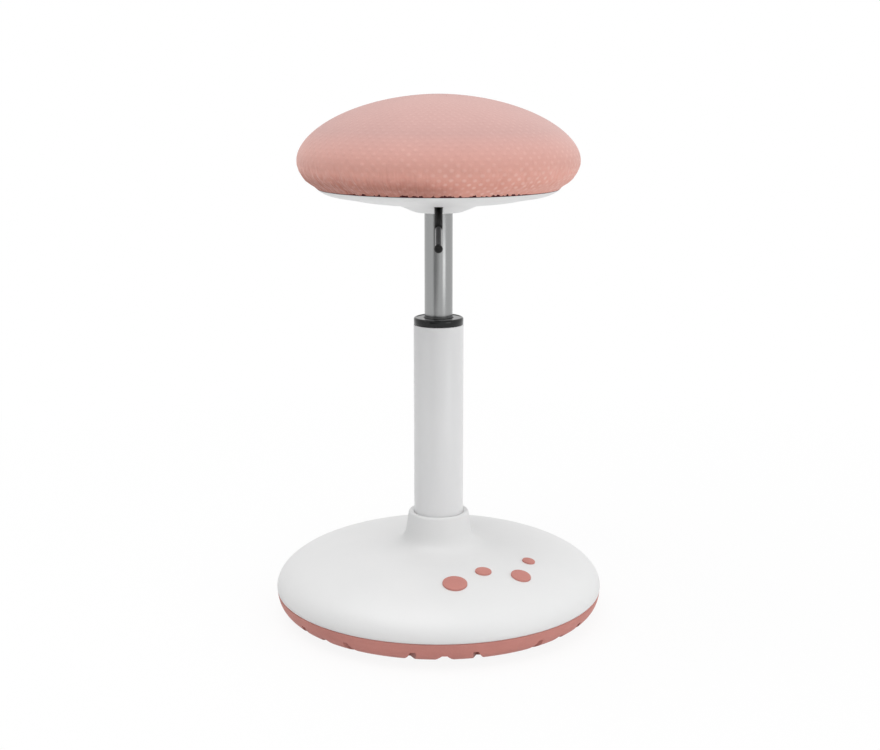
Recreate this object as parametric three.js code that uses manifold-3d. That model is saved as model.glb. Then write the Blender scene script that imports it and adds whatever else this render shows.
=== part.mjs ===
// Wobble stool: a ribbed, weighted base on a treaded rubber sole, a telescoping
// column with a swivelling lift cylinder, and a round padded seat with a release lever.
// Millimetres, +Z up, -Y is the front. The origin is on the floor, on the column's axis.
import * as THREE from 'three';
import { mergeVertices } from 'three/addons/utils/BufferGeometryUtils.js';
import Module from 'manifold-3d';

const wasm = await Module();
wasm.setup();

const quarter = Math.PI / 2;
const degrees = THREE.MathUtils.degToRad;

// Clearances shared by the whole stool
const seatGap = 0.3; // between pieces that rest on each other
const runGap = 0.2; // round shafts and pins
const overrun = 2; // how far a cut runs past the face it opens

// Sides of the round pieces, and steps along their curves
const baseSides = 36;
const seatSides = 36;
const columnSides = 20;
const smallSides = 12;
const screwSides = 8;
const ballSides = 6;
const longSteps = 6;
const shortSteps = 4;
const roundSteps = 3;
const tuckSteps = 4;
const crownSteps = 11;

// Sole: convex rubber, flat in the middle, so that the stool rocks on its outer zone
const soleEdgeRadius = 151.2;
const soleEdgeHeight = 6;
const soleRockerRun = 39.2;
const soleFlankFlare = 15;
const soleFlankHeight = 20.4;
const soleFlankFootShare = 0.5;
const soleFlankFootRise = 0.11;
const soleFlankTopShare = 0.93;
const soleFlankTopRise = 0.4;
const soleLedgeWidth = 8;
const soleRecessInset = 1.2;
const soleFloorHeight = 16;
const soleGrooveShares = [0.39, 0.64];
const soleGrooveWidth = 5;
const soleGrooveDepth = 2;
const notchGroups = 8;
const notchTurn = degrees(2);
const notchStep = degrees(11.5);
const notchSlant = degrees(28);
const broadNotch = { footWidth: 22, topWidth: 9, height: 5.8, reach: 24 };
const slantNotch = { footWidth: 8.4, topWidth: 5, height: 7.6, reach: 12.2 };

// Base moulding: rim, shoulder, saddle, and a neck that flares like a trumpet
const rimBulge = 0.4;
const rimBulgeRise = 3.2;
const shoulderRun = 26.6;
const shoulderRise = 27.2;
const shoulderSlope = 0.43;
const shoulderRiseShare = 0.44;
const shoulderRunShare = 0.5;
const saddleRadius = 64;
const saddleRise = 14.2;
const saddleRunShare = 0.3;
const saddleReachShare = 0.4;
const throatFlare = 2.4;
const throatRise = 17.5;
const flareRunShare = 0.65;
const flareFootShare = 0.14;
const flareDropShare = 0.07;
const neckWall = 2.6;
const neckHeight = 17.5;
const neckLipDepth = 5;
const baseWall = 3;
const ribCount = 6;
const ribThickness = 3;
const ribSetback = 7;
const ribLift = 2;
const bossRadius = 7;

// Ballast plate and the screws through sole, ballast and moulding
const ballastInset = 16;
const ballastThickness = 8;
const ballastBoreRadius = 18;
const baseScrewCircle = 98;
const baseScrewRadius = 2.5;
const baseScrewHeadRadius = 5.5;
const baseScrewHeadHeight = 3.7;
const baseScrewInset = 4;
const baseScrewBite = 16;
const screwTopShare = 0.6;
const screwShoulderShare = 0.5;

// Column socket
const socketFlangeRadius = 47;
const socketFloor = 4;
const socketWall = 2.6;
const socketHeadroom = 2;
const socketBoltCount = 4;
const socketBoltCircle = 38;
const socketBoltRadius = 3;
const socketBoltHeadRadius = 5;
const socketBoltHeadHeight = 3.6;

// Column, with the end plate that carries the bearing
const columnRadius = 25;
const columnWall = 1.8;
const columnLength = 268.3;
const columnTaperDrop = 1.2;
const columnStandoff = 2.4;
const endPlateInset = 6;
const endPlateThickness = 6;

// Guide bush: a long sleeve in the column, and a collar that shows on top of it
const collarInset = 0.1;
const collarHeight = 7;
const collarRound = 2.6;
const bushLength = 94;
const bushGrooveCount = 2;
const bushGrooveDepth = 1.2;
const bushGrooveLength = 14;

// Lift cylinder, rod and piston
const cylinderRadius = 14;
const cylinderWall = 2.6;
const cylinderTaperDrop = 0.6;
const cylinderEngagement = 76.7;
const cylinderAboveHub = 18.5;
const liftStroke = 100;
const liftMargin = 4.7;
const rodRadius = 5;
const rodStep = 1;
const rodTail = 4.4;
const pistonLength = 12;
const pistonGrooveDepth = 1;
const rodGuideLength = 12;
const gasRoom = 6;

// Thrust bearing, retaining clip and bump stop
const washerRadius = 14;
const washerThickness = 2;
const ballRadius = 2.2;
const ballCount = 8;
const cageThickness = 2;
const cageHalfWidth = 3.6;
const clipThickness = 1.4;
const clipReach = 4;
const clipGrooveDepth = 1.2;
const clipMouthShare = 0.8;
const bumperHeight = 16;
const bumperRadius = 11;
const bumperWaistShare = 0.82;
const bumperWaistShares = [0.3, 0.5, 0.7];

// Seat shell, with its heights above the hub's underside
const hubRim = 8;
const hubFloor = 1.2;
const hubFootShare = 0.21;
const hubFootRise = 0.13;
const hubTopShare = 0.47;
const shellFlatRadius = 60;
const shellFlatHeight = 10;
const shellFlatRise = 1.2;
const shellDishHeight = 16.6;
const shellRimRadius = 119.5;
const shellRimRun = 14.5;
const shellRimHeight = 23;
const shellWall = 3;
const shellLedgeWidth = 5;
const shellPostRadius = 5;
const shellScrewReach = 38;
const shellScrewSpread = 22;
const shellScrewRadius = 1.6;
const shellScrewHeadRadius = 3.4;
const shellScrewHeadHeight = 2.1;

// Mount plate
const plateHalf = 52;
const plateCorner = 12;
const plateThickness = 3;
const cupWall = 3.4;
const earThickness = 2.5;
const earHalfLength = 6;
const earRise = 3.4;
const earDrop = 6.2;
const mountScrewReach = 42;
const mountScrewRadius = 2.5;
const mountScrewHeadRadius = 5;
const mountScrewHeadHeight = 3;
const mountScrewShy = 4;

// Seat board and cushion
const boardInset = 2.5;
const boardThickness = 15;
const boardBoreRadius = 37;
const boardEdgeRound = 3;
const cushionOverhang = 19.1;
const cushionWidestRise = 28.9;
const cushionCrownRise = 62.2;
const cushionPlanShare = 1.91;
const cushionCrownShare = 1.79;
const cushionTuckRun = 38.3;
const cushionTuckDrop = 30.4;
const coverThickness = 2;
const foamSkirtDrop = 8;

// Release lever and valve pin
const leverSlope = Math.atan(0.5);
const leverSwing = degrees(7);
const pivotSetback = 4.6;
const pivotRise = 0.3;
const leverRodRadius = 2.9;
const leverInnerReach = 3.5;
const leverBallReach = 110;
const leverBallRadius = 4;
const leverStudRadius = 1.8;
const leverStudLength = 2.4;
const leverSleeveRadius = 3.85;
const leverSleeveSetback = 12;
const leverSleeveEnd = 79.4;
const leverSleeveChamfer = 1.2;
const leverSlotSpare = 0.5;
const eyeRadius = 5;
const eyeHalfWidth = 4.5;
const leverPinRadius = 2;
const leverPinOverhang = 1;
const valveHeadRadius = 3.6;
const valveDomeRadius = 4;
const valveHeadDrop = 1;
const valveStemRadius = 2.4;
const valveStemLength = 15;
const valveBoreSpare = 5;

// Raised rubber dots on the base, in a loose arc to the right of the front
const dotRadius = 12;
const dotHeight = 1.4;
const dotRound = 0.6;
const dotCrown = 0.3;
const dots = [
  { bearing: degrees(8), reachShare: 0.8, sizeShare: 1 },
  { bearing: degrees(27), reachShare: 0.685, sizeShare: 0.67 },
  { bearing: degrees(43), reachShare: 0.84, sizeShare: 0.83 },
  { bearing: degrees(60), reachShare: 0.74, sizeShare: 0.54 },
];

// Radii and heights of the base that follow from the sizes above
const soleContactRadius = soleEdgeRadius - soleRockerRun;
const soleRecessRadius = soleEdgeRadius - soleRecessInset;
const partingRadius = soleEdgeRadius + soleFlankFlare;
const partingHeight = soleEdgeHeight + soleFlankHeight;
const shellFoot = partingHeight + seatGap;
const widestRadius = partingRadius + rimBulge;
const widestHeight = partingHeight + rimBulgeRise;
const shoulderRadius = widestRadius - shoulderRun;
const shoulderHeight = widestHeight + shoulderRise;
const saddleHeight = shoulderHeight + saddleRise;
const socketOuterRadius = columnRadius + seatGap + socketWall;
const neckBoreRadius = socketOuterRadius + seatGap;
const neckRadius = neckBoreRadius + neckWall;
const throatRadius = neckRadius + throatFlare;
const throatHeight = saddleHeight + throatRise;
const neckTop = throatHeight + neckHeight;
const lipBottom = neckTop - neckLipDepth;
const ballastRadius = soleRecessRadius - ballastInset;
const ballastBottom = soleFloorHeight + seatGap;
const ballastTop = ballastBottom + ballastThickness;
const baseScrewSeat = baseScrewInset + baseScrewHeadHeight;
const socketBottom = ballastTop + seatGap;
const socketFloorTop = socketBottom + socketFloor;
const socketTop = lipBottom - socketHeadroom;
const ribInnerRadius = socketFlangeRadius + ribSetback;

// Heights of the column, the bearing and the lift
const columnBottom = socketFloorTop + columnStandoff;
const columnTop = columnBottom + columnLength;
const columnBoreRadius = columnRadius - columnWall;
const endPlateBottom = columnBottom + endPlateInset;
const lowerWasherBottom = endPlateBottom + endPlateThickness + seatGap;
const cageMiddle = lowerWasherBottom + washerThickness + runGap + ballRadius;
const upperWasherBottom = cageMiddle + ballRadius + runGap;
const rodNeckRadius = rodRadius - rodStep;
const rodShoulder = upperWasherBottom + washerThickness + seatGap;
const ballCircle = (rodNeckRadius + washerRadius) / 2;
const collarTop = columnTop + seatGap + collarHeight;
const hubBottom = collarTop + liftStroke + liftMargin;
const cylinderBottom = columnTop - cylinderEngagement;
const cylinderBoreRadius = cylinderRadius - cylinderWall;
const cylinderTop = hubBottom + cylinderAboveHub;
const pistonBottom = cylinderBottom + rodGuideLength + seatGap;
const pistonTop = pistonBottom + pistonLength;
const gasTop = pistonTop + liftStroke + gasRoom;

// Heights and radii of the seat
const hubBottomRadius = cylinderRadius + hubRim;
const hubRun = shellFlatRadius - hubBottomRadius;
const rimTop = hubBottom + shellRimHeight;
const shellDishRadius = shellRimRadius - shellRimRun;
const ledgeRadius = shellRimRadius - shellLedgeWidth;
const plateBottom = rimTop - plateThickness;
const cupRadius = cylinderRadius + cupWall;
const cupBottom = hubBottom + hubFloor + seatGap;
const shellScrewSeat = hubBottom + shellFlatHeight + shellScrewHeadHeight;
const boardRadius = shellRimRadius - boardInset;
const boardBottom = rimTop + seatGap;
const boardTop = boardBottom + boardThickness;
const cushionWidest = rimTop + cushionWidestRise;
const cushionTop = cushionWidest + cushionCrownRise;
const cushionRadius = shellRimRadius + cushionOverhang;
const cushionTuckRadius = cushionRadius - cushionTuckRun;
const pivotReach = cupRadius + pivotSetback;
const pivotHeight = plateBottom + pivotRise;

function finish(color, roughness, metalness) {
  return new THREE.MeshStandardMaterial({ color, roughness, metalness });
}

const palette = {
  pinkRubber: finish('#c98279', 0.7, 0),
  pinkFabric: finish('#d39d95', 0.95, 0),
  whitePlastic: finish('#e8e8e8', 0.45, 0),
  whiteEnamel: finish('#e6e6e7', 0.35, 0.1),
  blackPlastic: finish('#1e2020', 0.35, 0),
  blackRubber: finish('#242424', 0.85, 0),
  brightSteel: finish('#b9bbbd', 0.25, 1),
  zincSteel: finish('#9a9c9f', 0.45, 1),
  castIron: finish('#4b4c4e', 0.7, 0.8),
  plywood: finish('#c9a878', 0.75, 0),
  foam: finish('#efe6c8', 1, 0),
};

const stool = new THREE.Group();

// A closed mesh has merged corners, no flat slivers of triangles, and faces that point out
function closeSurface(geometry) {
  geometry.deleteAttribute('normal');
  geometry.deleteAttribute('uv');
  const merged = mergeVertices(geometry);
  const corners = Array.from(merged.index.array);
  const kept = [];
  while (corners.length) {
    const [a, b, c] = corners.splice(-3);
    if (a !== b && b !== c && c !== a) kept.push(a, b, c);
  }
  merged.setIndex(kept);
  if (enclosedVolume(merged) < 0) merged.setIndex(kept.reverse());
  return merged;
}

function enclosedVolume(geometry) {
  const place = geometry.attributes.position;
  const corners = Array.from(geometry.index.array);
  let sum = 0;
  while (corners.length) {
    const [a, b, c] = corners.splice(-3).map((i) => new THREE.Vector3().fromBufferAttribute(place, i));
    sum += a.dot(b.cross(c));
  }
  return sum;
}

function toSolid(geometry) {
  const closed = closeSurface(geometry);
  return new wasm.Manifold(new wasm.Mesh({
    numProp: 3,
    vertProperties: new Float32Array(closed.attributes.position.array),
    triVerts: new Uint32Array(closed.index.array),
  }));
}

function toGeometry(solid) {
  const { numProp, vertProperties, triVerts } = solid.getMesh();
  const geometry = new THREE.BufferGeometry();
  geometry.setAttribute('position', new THREE.BufferAttribute(vertProperties, numProp));
  geometry.setIndex(new THREE.BufferAttribute(triVerts, 1));
  return geometry;
}

// Puts a solid, or a geometry that needs no cut, into a group under its name
function place(name, shape, material, parent = stool) {
  const geometry = shape instanceof THREE.BufferGeometry ? closeSurface(shape) : toGeometry(shape);
  geometry.computeVertexNormals();
  const mesh = new THREE.Mesh(geometry, material);
  mesh.name = name;
  parent.add(mesh);
  return mesh;
}

function placeEach(prefix, spots, height, shape, material) {
  spots.forEach(([x, y], i) => {
    place(`${prefix}_${i + 1}`, shape.clone(), material).position.set(x, y, height);
  });
}

// Revolves a closed outline of [radius, height] points about the Z axis
function revolve(outline, sides) {
  const points = [...outline, outline[0]].map(([radius, height]) => new THREE.Vector2(radius, height));
  return new THREE.LatheGeometry(points, sides).rotateX(quarter);
}

function disc(radius, bottom, top, sides) {
  return revolve([[0, bottom], [radius, bottom], [radius, top], [0, top]], sides);
}

function ring(inner, outer, bottom, top, sides) {
  return revolve([[inner, bottom], [outer, bottom], [outer, top], [inner, top]], sides);
}

function block([width, depth, height], centre) {
  return new THREE.BoxGeometry(width, depth, height).translate(...centre);
}

function aroundAxis(count, start = 0) {
  return Array.from({ length: count }, (_, i) => start + (i * 2 * Math.PI) / count);
}

function onCircle(radius, angle) {
  return [radius * Math.cos(angle), radius * Math.sin(angle)];
}

function fourCorners(x, y) {
  return [[-x, -y], [x, -y], [-x, y], [x, y]];
}

// Cuts one upright round hole at each spot
function drill(solid, spots, radius, bottom, top, sides = screwSides) {
  return spots.reduce((body, [x, y]) => {
    const hole = disc(radius, bottom, top, sides).translate(x, y, 0);
    return body.subtract(toSolid(hole));
  }, solid);
}

// Moves every point of an open outline square to it by one distance, to its left
function offsetOutline(points, distance) {
  return points.map(([radius, height], i) => {
    const before = points[Math.max(i - 1, 0)];
    const after = points[Math.min(i + 1, points.length - 1)];
    const along = new THREE.Vector2(after[0] - before[0], after[1] - before[1]).normalize();
    return [radius - along.y * distance, height + along.x * distance];
  });
}

// Hidden inner faces need only half of the points
function everySecond(points) {
  return points.filter((_, i) => i % 2 === 0);
}

function bezier(steps, ...points) {
  const curve = new THREE.CubicBezierCurve(...points.map((p) => new THREE.Vector2(...p)));
  return curve.getPoints(steps).map((p) => [p.x, p.y]);
}

function arc(centre, radius, start, end, steps = roundSteps) {
  return Array.from({ length: steps + 1 }, (_, i) => {
    const [x, y] = onCircle(radius, start + ((end - start) * i) / steps);
    return [centre[0] + x, centre[1] + y];
  });
}

// A screw that points up: a low domed head below the seat height, a shank above it
function screw(headRadius, headHeight, shankRadius, shankLength) {
  return revolve([
    [0, -headHeight],
    [headRadius * screwTopShare, -headHeight],
    [headRadius, -headHeight * screwShoulderShare],
    [headRadius, 0],
    [shankRadius, 0],
    [shankRadius, shankLength - shankRadius],
    [0, shankLength],
  ], screwSides);
}

function spotsOnCircle(count, start, radius) {
  return aroundAxis(count, start).map((angle) => onCircle(radius, angle));
}

const baseScrewSpots = spotsOnCircle(ribCount, Math.PI / ribCount, baseScrewCircle);
const socketBoltSpots = spotsOnCircle(socketBoltCount, quarter / 2, socketBoltCircle);
const mountScrewSpots = fourCorners(mountScrewReach, mountScrewReach);
const ballSpots = spotsOnCircle(ballCount, 0, ballCircle);
const shellScrewSpots = fourCorners(shellScrewReach, shellScrewSpread);

// Outer line of the base moulding, from the parting line to the foot of the lip
function baseOutline() {
  const saddleRun = shoulderRadius - saddleRadius;
  const flareRun = saddleRadius - throatRadius;
  const rim = bezier(
    longSteps,
    [widestRadius, widestHeight],
    [widestRadius, widestHeight + shoulderRise * shoulderRiseShare],
    [
      shoulderRadius + shoulderRun * shoulderRunShare,
      shoulderHeight - shoulderSlope * shoulderRun * shoulderRunShare,
    ],
    [shoulderRadius, shoulderHeight],
  );
  const saddle = bezier(
    shortSteps,
    [shoulderRadius, shoulderHeight],
    [
      shoulderRadius - saddleRun * saddleRunShare,
      shoulderHeight + shoulderSlope * saddleRun * saddleRunShare,
    ],
    [saddleRadius + saddleRun * saddleReachShare, saddleHeight],
    [saddleRadius, saddleHeight],
  );
  const flare = bezier(
    longSteps,
    [saddleRadius, saddleHeight],
    [saddleRadius - flareRun * flareRunShare, saddleHeight],
    [throatRadius + throatRise * flareFootShare, saddleHeight + throatRise * flareDropShare],
    [throatRadius, throatHeight],
  );
  return [[partingRadius, shellFoot], ...rim, ...saddle.slice(1), ...flare.slice(1)];
}

// The lip closes in on the column over the top of the socket
function neckLip() {
  const centre = [neckRadius - neckWall, neckTop - neckWall];
  return [
    ...arc(centre, neckWall, 0, quarter),
    [columnRadius + seatGap, neckTop - neckWall / 2],
    [columnRadius + seatGap, lipBottom],
    [neckBoreRadius, lipBottom],
  ];
}

function makeBaseShell() {
  const outer = baseOutline();
  const skin = everySecond(offsetOutline(outer, baseWall)).filter(([radius]) => radius > throatRadius);
  const lining = skin.reverse();
  const shell = toSolid(revolve([
    ...outer,
    ...neckLip(),
    [neckBoreRadius, lining[0][1]],
    ...lining,
  ], baseSides));
  const middle = everySecond(offsetOutline(outer, baseWall / 2));
  const inside = toSolid(revolve([
    [0, shellFoot],
    ...middle,
    [0, middle[middle.length - 1][1]],
  ], baseSides));
  return addBosses(addRibs(shell, inside), inside);
}

function addRibs(shell, inside) {
  const bottom = shellFoot + ribLift;
  const size = [widestRadius - ribInnerRadius, ribThickness, neckTop - bottom];
  const centre = [(widestRadius + ribInnerRadius) / 2, 0, (neckTop + bottom) / 2];
  return aroundAxis(ribCount).reduce((body, angle) => {
    const rib = toSolid(block(size, centre).rotateZ(angle));
    return body.add(rib.intersect(inside));
  }, shell);
}

// Each boss stands on the ballast plate and takes one screw from below
function addBosses(shell, inside) {
  const bottom = ballastTop + seatGap;
  const withBosses = baseScrewSpots.reduce((body, [x, y]) => {
    const post = toSolid(disc(bossRadius, bottom, neckTop, smallSides).translate(x, y, 0));
    const foot = toSolid(disc(bossRadius, bottom, shellFoot + ribLift, smallSides).translate(x, y, 0));
    return body.add(post.intersect(inside)).add(foot);
  }, shell);
  const holeTop = bottom + baseScrewBite + overrun;
  return drill(withBosses, baseScrewSpots, baseScrewRadius + runGap, bottom - overrun, holeTop);
}

// Sole: the flank tapers in below the parting line, and the underside is convex
function makeSole() {
  const rocker = bezier(
    shortSteps,
    [soleContactRadius, 0],
    [soleContactRadius + soleRockerRun / 3, 0],
    [soleEdgeRadius - soleRockerRun / 3, soleEdgeHeight / 3],
    [soleEdgeRadius, soleEdgeHeight],
  );
  const flank = bezier(
    shortSteps,
    [soleEdgeRadius, soleEdgeHeight],
    [
      soleEdgeRadius + soleFlankFlare * soleFlankFootShare,
      soleEdgeHeight + soleFlankHeight * soleFlankFootRise,
    ],
    [
      soleEdgeRadius + soleFlankFlare * soleFlankTopShare,
      soleEdgeHeight + soleFlankHeight * soleFlankTopRise,
    ],
    [partingRadius, partingHeight],
  );
  const grooves = soleGrooveShares.flatMap((share) => {
    const radius = soleContactRadius * share;
    return [
      [radius, 0],
      [radius + soleGrooveDepth / 2, soleGrooveDepth],
      [radius + soleGrooveWidth - soleGrooveDepth / 2, soleGrooveDepth],
      [radius + soleGrooveWidth, 0],
    ];
  });
  const body = toSolid(revolve([
    [0, 0],
    ...grooves,
    ...rocker,
    ...flank.slice(1),
    [partingRadius - soleLedgeWidth, partingHeight],
    [soleRecessRadius, soleFloorHeight],
    [0, soleFloorHeight],
  ], baseSides));
  const wellRadius = baseScrewHeadRadius + seatGap;
  const wellTop = baseScrewSeat + seatGap;
  const wells = drill(cutNotches(body), baseScrewSpots, wellRadius, -overrun, wellTop, smallSides);
  return drill(wells, baseScrewSpots, baseScrewRadius + runGap, 0, soleFloorHeight + overrun);
}

// The notches come in threes: a broad one that runs radially, and two that slant away from it
function cutNotches(body) {
  const broad = notchCutter(broadNotch, 0);
  const left = notchCutter(slantNotch, notchSlant);
  const right = notchCutter(slantNotch, -notchSlant);
  return aroundAxis(notchGroups, notchTurn).reduce((result, group) => result
    .subtract(toSolid(broad.clone().rotateZ(group)))
    .subtract(toSolid(left.clone().rotateZ(group - notchStep)))
    .subtract(toSolid(right.clone().rotateZ(group + notchStep))), body);
}

// A bar of trapezoid section through the flank at +X, turned by its slant about its middle
function notchCutter({ footWidth, topWidth, height, reach }, slant) {
  const top = soleEdgeHeight + height;
  const half = topWidth / 2;
  const taper = (footWidth - topWidth) / 2 / height;
  const foot = half + taper * (top + overrun);
  const length = reach + soleFlankFlare + overrun;
  const section = new THREE.Shape();
  section.moveTo(-foot, -overrun);
  section.lineTo(foot, -overrun);
  section.lineTo(half, top);
  section.lineTo(-half, top);
  const bar = new THREE.ExtrudeGeometry(section, { depth: length, bevelEnabled: false });
  bar.rotateX(quarter).rotateZ(quarter).rotateZ(slant);
  return bar.translate(soleEdgeRadius - reach, (-length * Math.sin(slant)) / 2, 0);
}

function makeBallast() {
  const low = ballastBottom - overrun;
  const high = ballastTop + overrun;
  const plate = toSolid(ring(ballastBoreRadius, ballastRadius, ballastBottom, ballastTop, baseSides));
  const forScrews = drill(plate, baseScrewSpots, baseScrewRadius + runGap, low, high);
  return drill(forScrews, socketBoltSpots, socketBoltRadius + runGap, low, high);
}

// The column's foot tapers, so it wedges into the socket's tapered bore
function columnRadiusAt(height) {
  const share = Math.min((height - columnBottom) / (socketTop - columnBottom), 1);
  return columnRadius - columnTaperDrop * (1 - share);
}

function makeSocket() {
  const footBore = columnRadiusAt(columnBottom) + seatGap;
  const body = toSolid(revolve([
    [0, socketBottom],
    [socketFlangeRadius, socketBottom],
    [socketFlangeRadius, socketFloorTop],
    [socketOuterRadius, socketFloorTop],
    [socketOuterRadius, socketTop],
    [columnRadius + seatGap, socketTop],
    [footBore, columnBottom],
    [footBore, socketFloorTop],
    [0, socketFloorTop],
  ], columnSides));
  const high = socketFloorTop + overrun;
  return drill(body, socketBoltSpots, socketBoltRadius + runGap, socketBottom - overrun, high);
}

function makeColumn() {
  const footRadius = columnRadiusAt(columnBottom);
  return revolve([
    [footRadius, columnBottom],
    [columnRadius, socketTop],
    [columnRadius, columnTop],
    [columnBoreRadius, columnTop],
    [columnBoreRadius, socketTop],
    [footRadius - columnWall, columnBottom],
  ], columnSides);
}

function makeEndPlate() {
  const outer = columnRadiusAt(endPlateBottom) - columnWall - seatGap;
  const top = endPlateBottom + endPlateThickness;
  return ring(rodNeckRadius + runGap * 2, outer, endPlateBottom, top, columnSides);
}

function makeWasher(bottom) {
  return ring(rodNeckRadius + runGap, washerRadius, bottom, bottom + washerThickness, columnSides);
}

function makeGuideBush() {
  const bore = cylinderRadius + runGap;
  const sleeve = columnBoreRadius - seatGap;
  const waist = sleeve - bushGrooveDepth;
  const collar = columnRadius - collarInset;
  const bottom = columnTop - bushLength;
  const seat = columnTop + seatGap;
  const pitch = bushLength / (bushGrooveCount + 1);
  const grooves = Array.from({ length: bushGrooveCount }, (_, i) => {
    const low = bottom + pitch * (i + 1) - bushGrooveLength / 2;
    const high = low + bushGrooveLength;
    return [[sleeve, low], [waist, low], [waist, high], [sleeve, high]];
  });
  return revolve([
    [bore, bottom],
    [sleeve, bottom],
    ...grooves.flat(),
    [sleeve, seat],
    [collar, seat],
    ...arc([collar - collarRound, collarTop - collarRound], collarRound, 0, quarter),
    [bore, collarTop],
  ], columnSides);
}

function makeCylinder() {
  const body = toSolid(revolve([
    [cylinderBoreRadius, cylinderBottom],
    [cylinderRadius, cylinderBottom],
    [cylinderRadius, hubBottom],
    [cylinderRadius - cylinderTaperDrop, cylinderTop],
    [0, cylinderTop],
    [0, gasTop],
    [cylinderBoreRadius, gasTop],
  ], columnSides));
  const boreBottom = cylinderTop - valveStemLength - valveBoreSpare;
  return drill(body, [[0, 0]], valveStemRadius + runGap, boreBottom, cylinderTop + overrun, smallSides);
}

function makeRodGuide() {
  const outer = cylinderBoreRadius - seatGap;
  return ring(rodRadius + runGap, outer, cylinderBottom, cylinderBottom + rodGuideLength, columnSides);
}

// The rod hangs in the end plate by its clip, and its neck carries the piston at the top
function makeRod() {
  const grooveTop = endPlateBottom - seatGap;
  const grooveBottom = grooveTop - clipThickness - runGap;
  const waist = rodNeckRadius - clipGrooveDepth;
  return revolve([
    [0, endPlateBottom - rodTail],
    [rodNeckRadius, endPlateBottom - rodTail],
    [rodNeckRadius, grooveBottom],
    [waist, grooveBottom],
    [waist, grooveTop],
    [rodNeckRadius, grooveTop],
    [rodNeckRadius, rodShoulder],
    [rodRadius, rodShoulder],
    [rodRadius, pistonBottom - runGap],
    [rodNeckRadius, pistonBottom - runGap],
    [rodNeckRadius, pistonTop],
    [0, pistonTop],
  ], smallSides);
}

function makePiston() {
  const inner = rodNeckRadius + runGap;
  const outer = cylinderBoreRadius - runGap;
  const waist = outer - pistonGrooveDepth;
  const land = pistonLength / 3;
  return revolve([
    [inner, pistonBottom],
    [outer, pistonBottom],
    [outer, pistonBottom + land],
    [waist, pistonBottom + land],
    [waist, pistonTop - land],
    [outer, pistonTop - land],
    [outer, pistonTop],
    [inner, pistonTop],
  ], columnSides);
}

function makeBumper() {
  const bottom = rodShoulder + seatGap;
  const [low, middle, high] = bumperWaistShares.map((share) => bottom + bumperHeight * share);
  return revolve([
    [rodRadius + runGap, bottom],
    [bumperRadius, bottom],
    [bumperRadius, low],
    [bumperRadius * bumperWaistShare, middle],
    [bumperRadius, high],
    [bumperRadius, bottom + bumperHeight],
    [rodRadius + runGap, bottom + bumperHeight],
  ], smallSides);
}

// An open ring that snaps into the rod's groove below the end plate
function makeClip() {
  const top = endPlateBottom - seatGap - runGap / 2;
  const inner = rodNeckRadius - clipGrooveDepth + runGap;
  const outer = inner + clipReach;
  const body = toSolid(ring(inner, outer, top - clipThickness, top, smallSides));
  const mouth = block([outer + overrun, inner * clipMouthShare, outer], [(outer + overrun) / 2, 0, top]);
  return body.subtract(toSolid(mouth));
}

function makeCage() {
  const low = cageMiddle - cageThickness / 2;
  const high = cageMiddle + cageThickness / 2;
  const body = toSolid(ring(ballCircle - cageHalfWidth, ballCircle + cageHalfWidth, low, high, columnSides));
  return drill(body, ballSpots, ballRadius + runGap * 2, low - overrun, high + overrun);
}

// Outer line of the seat shell: hub, shallow dish and turned-up rim
function shellOutline() {
  const flat = hubBottom + shellFlatHeight;
  const dishMiddle = (shellFlatRadius + shellDishRadius) / 2;
  const dishEdge = hubBottom + shellDishHeight;
  const hub = bezier(
    shortSteps,
    [hubBottomRadius, hubBottom],
    [hubBottomRadius + hubRun * hubFootShare, hubBottom + shellFlatHeight * hubFootRise],
    [hubBottomRadius + hubRun * hubTopShare, flat],
    [shellFlatRadius, flat],
  );
  const dish = bezier(
    shortSteps,
    [shellFlatRadius, flat],
    [dishMiddle, flat + shellFlatRise],
    [dishMiddle, (flat + dishEdge) / 2],
    [shellDishRadius, dishEdge],
  );
  const rim = bezier(
    shortSteps,
    [shellDishRadius, dishEdge],
    [(shellDishRadius + shellRimRadius) / 2, dishEdge + shellWall / 2],
    [shellRimRadius, (dishEdge + rimTop) / 2],
    [shellRimRadius, rimTop],
  );
  return [...hub, ...dish.slice(1), ...rim.slice(1)];
}

function makeSeatShell() {
  const outer = shellOutline();
  const bore = cylinderRadius + seatGap;
  const inner = everySecond(offsetOutline(outer, shellWall)).filter(([radius]) => radius < ledgeRadius);
  const body = toSolid(revolve([
    [bore, hubBottom],
    ...outer,
    [ledgeRadius, rimTop],
    ...inner.slice(1).reverse(),
    [cupRadius + seatGap * 2, hubBottom + hubFloor],
    [bore, hubBottom + hubFloor],
  ], seatSides));
  const middle = everySecond(offsetOutline(outer, shellWall / 2));
  const inside = toSolid(revolve([...middle, [0, rimTop], [0, middle[0][1]]], seatSides));
  return cutLeverSlot(addShellPosts(body, inside));
}

// Each post takes a screw from a well in the underside up into the mount plate
function addShellPosts(body, inside) {
  const top = plateBottom - seatGap;
  const withPosts = shellScrewSpots.reduce((result, [x, y]) => {
    const post = disc(shellPostRadius, hubBottom, top, smallSides).translate(x, y, 0);
    return result.add(toSolid(post).intersect(inside));
  }, body);
  const wellRadius = shellScrewHeadRadius + runGap;
  const wellTop = shellScrewSeat + seatGap;
  const wells = drill(withPosts, shellScrewSpots, wellRadius, hubBottom, wellTop, smallSides);
  return drill(wells, shellScrewSpots, shellScrewRadius + runGap, hubBottom, rimTop);
}

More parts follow.
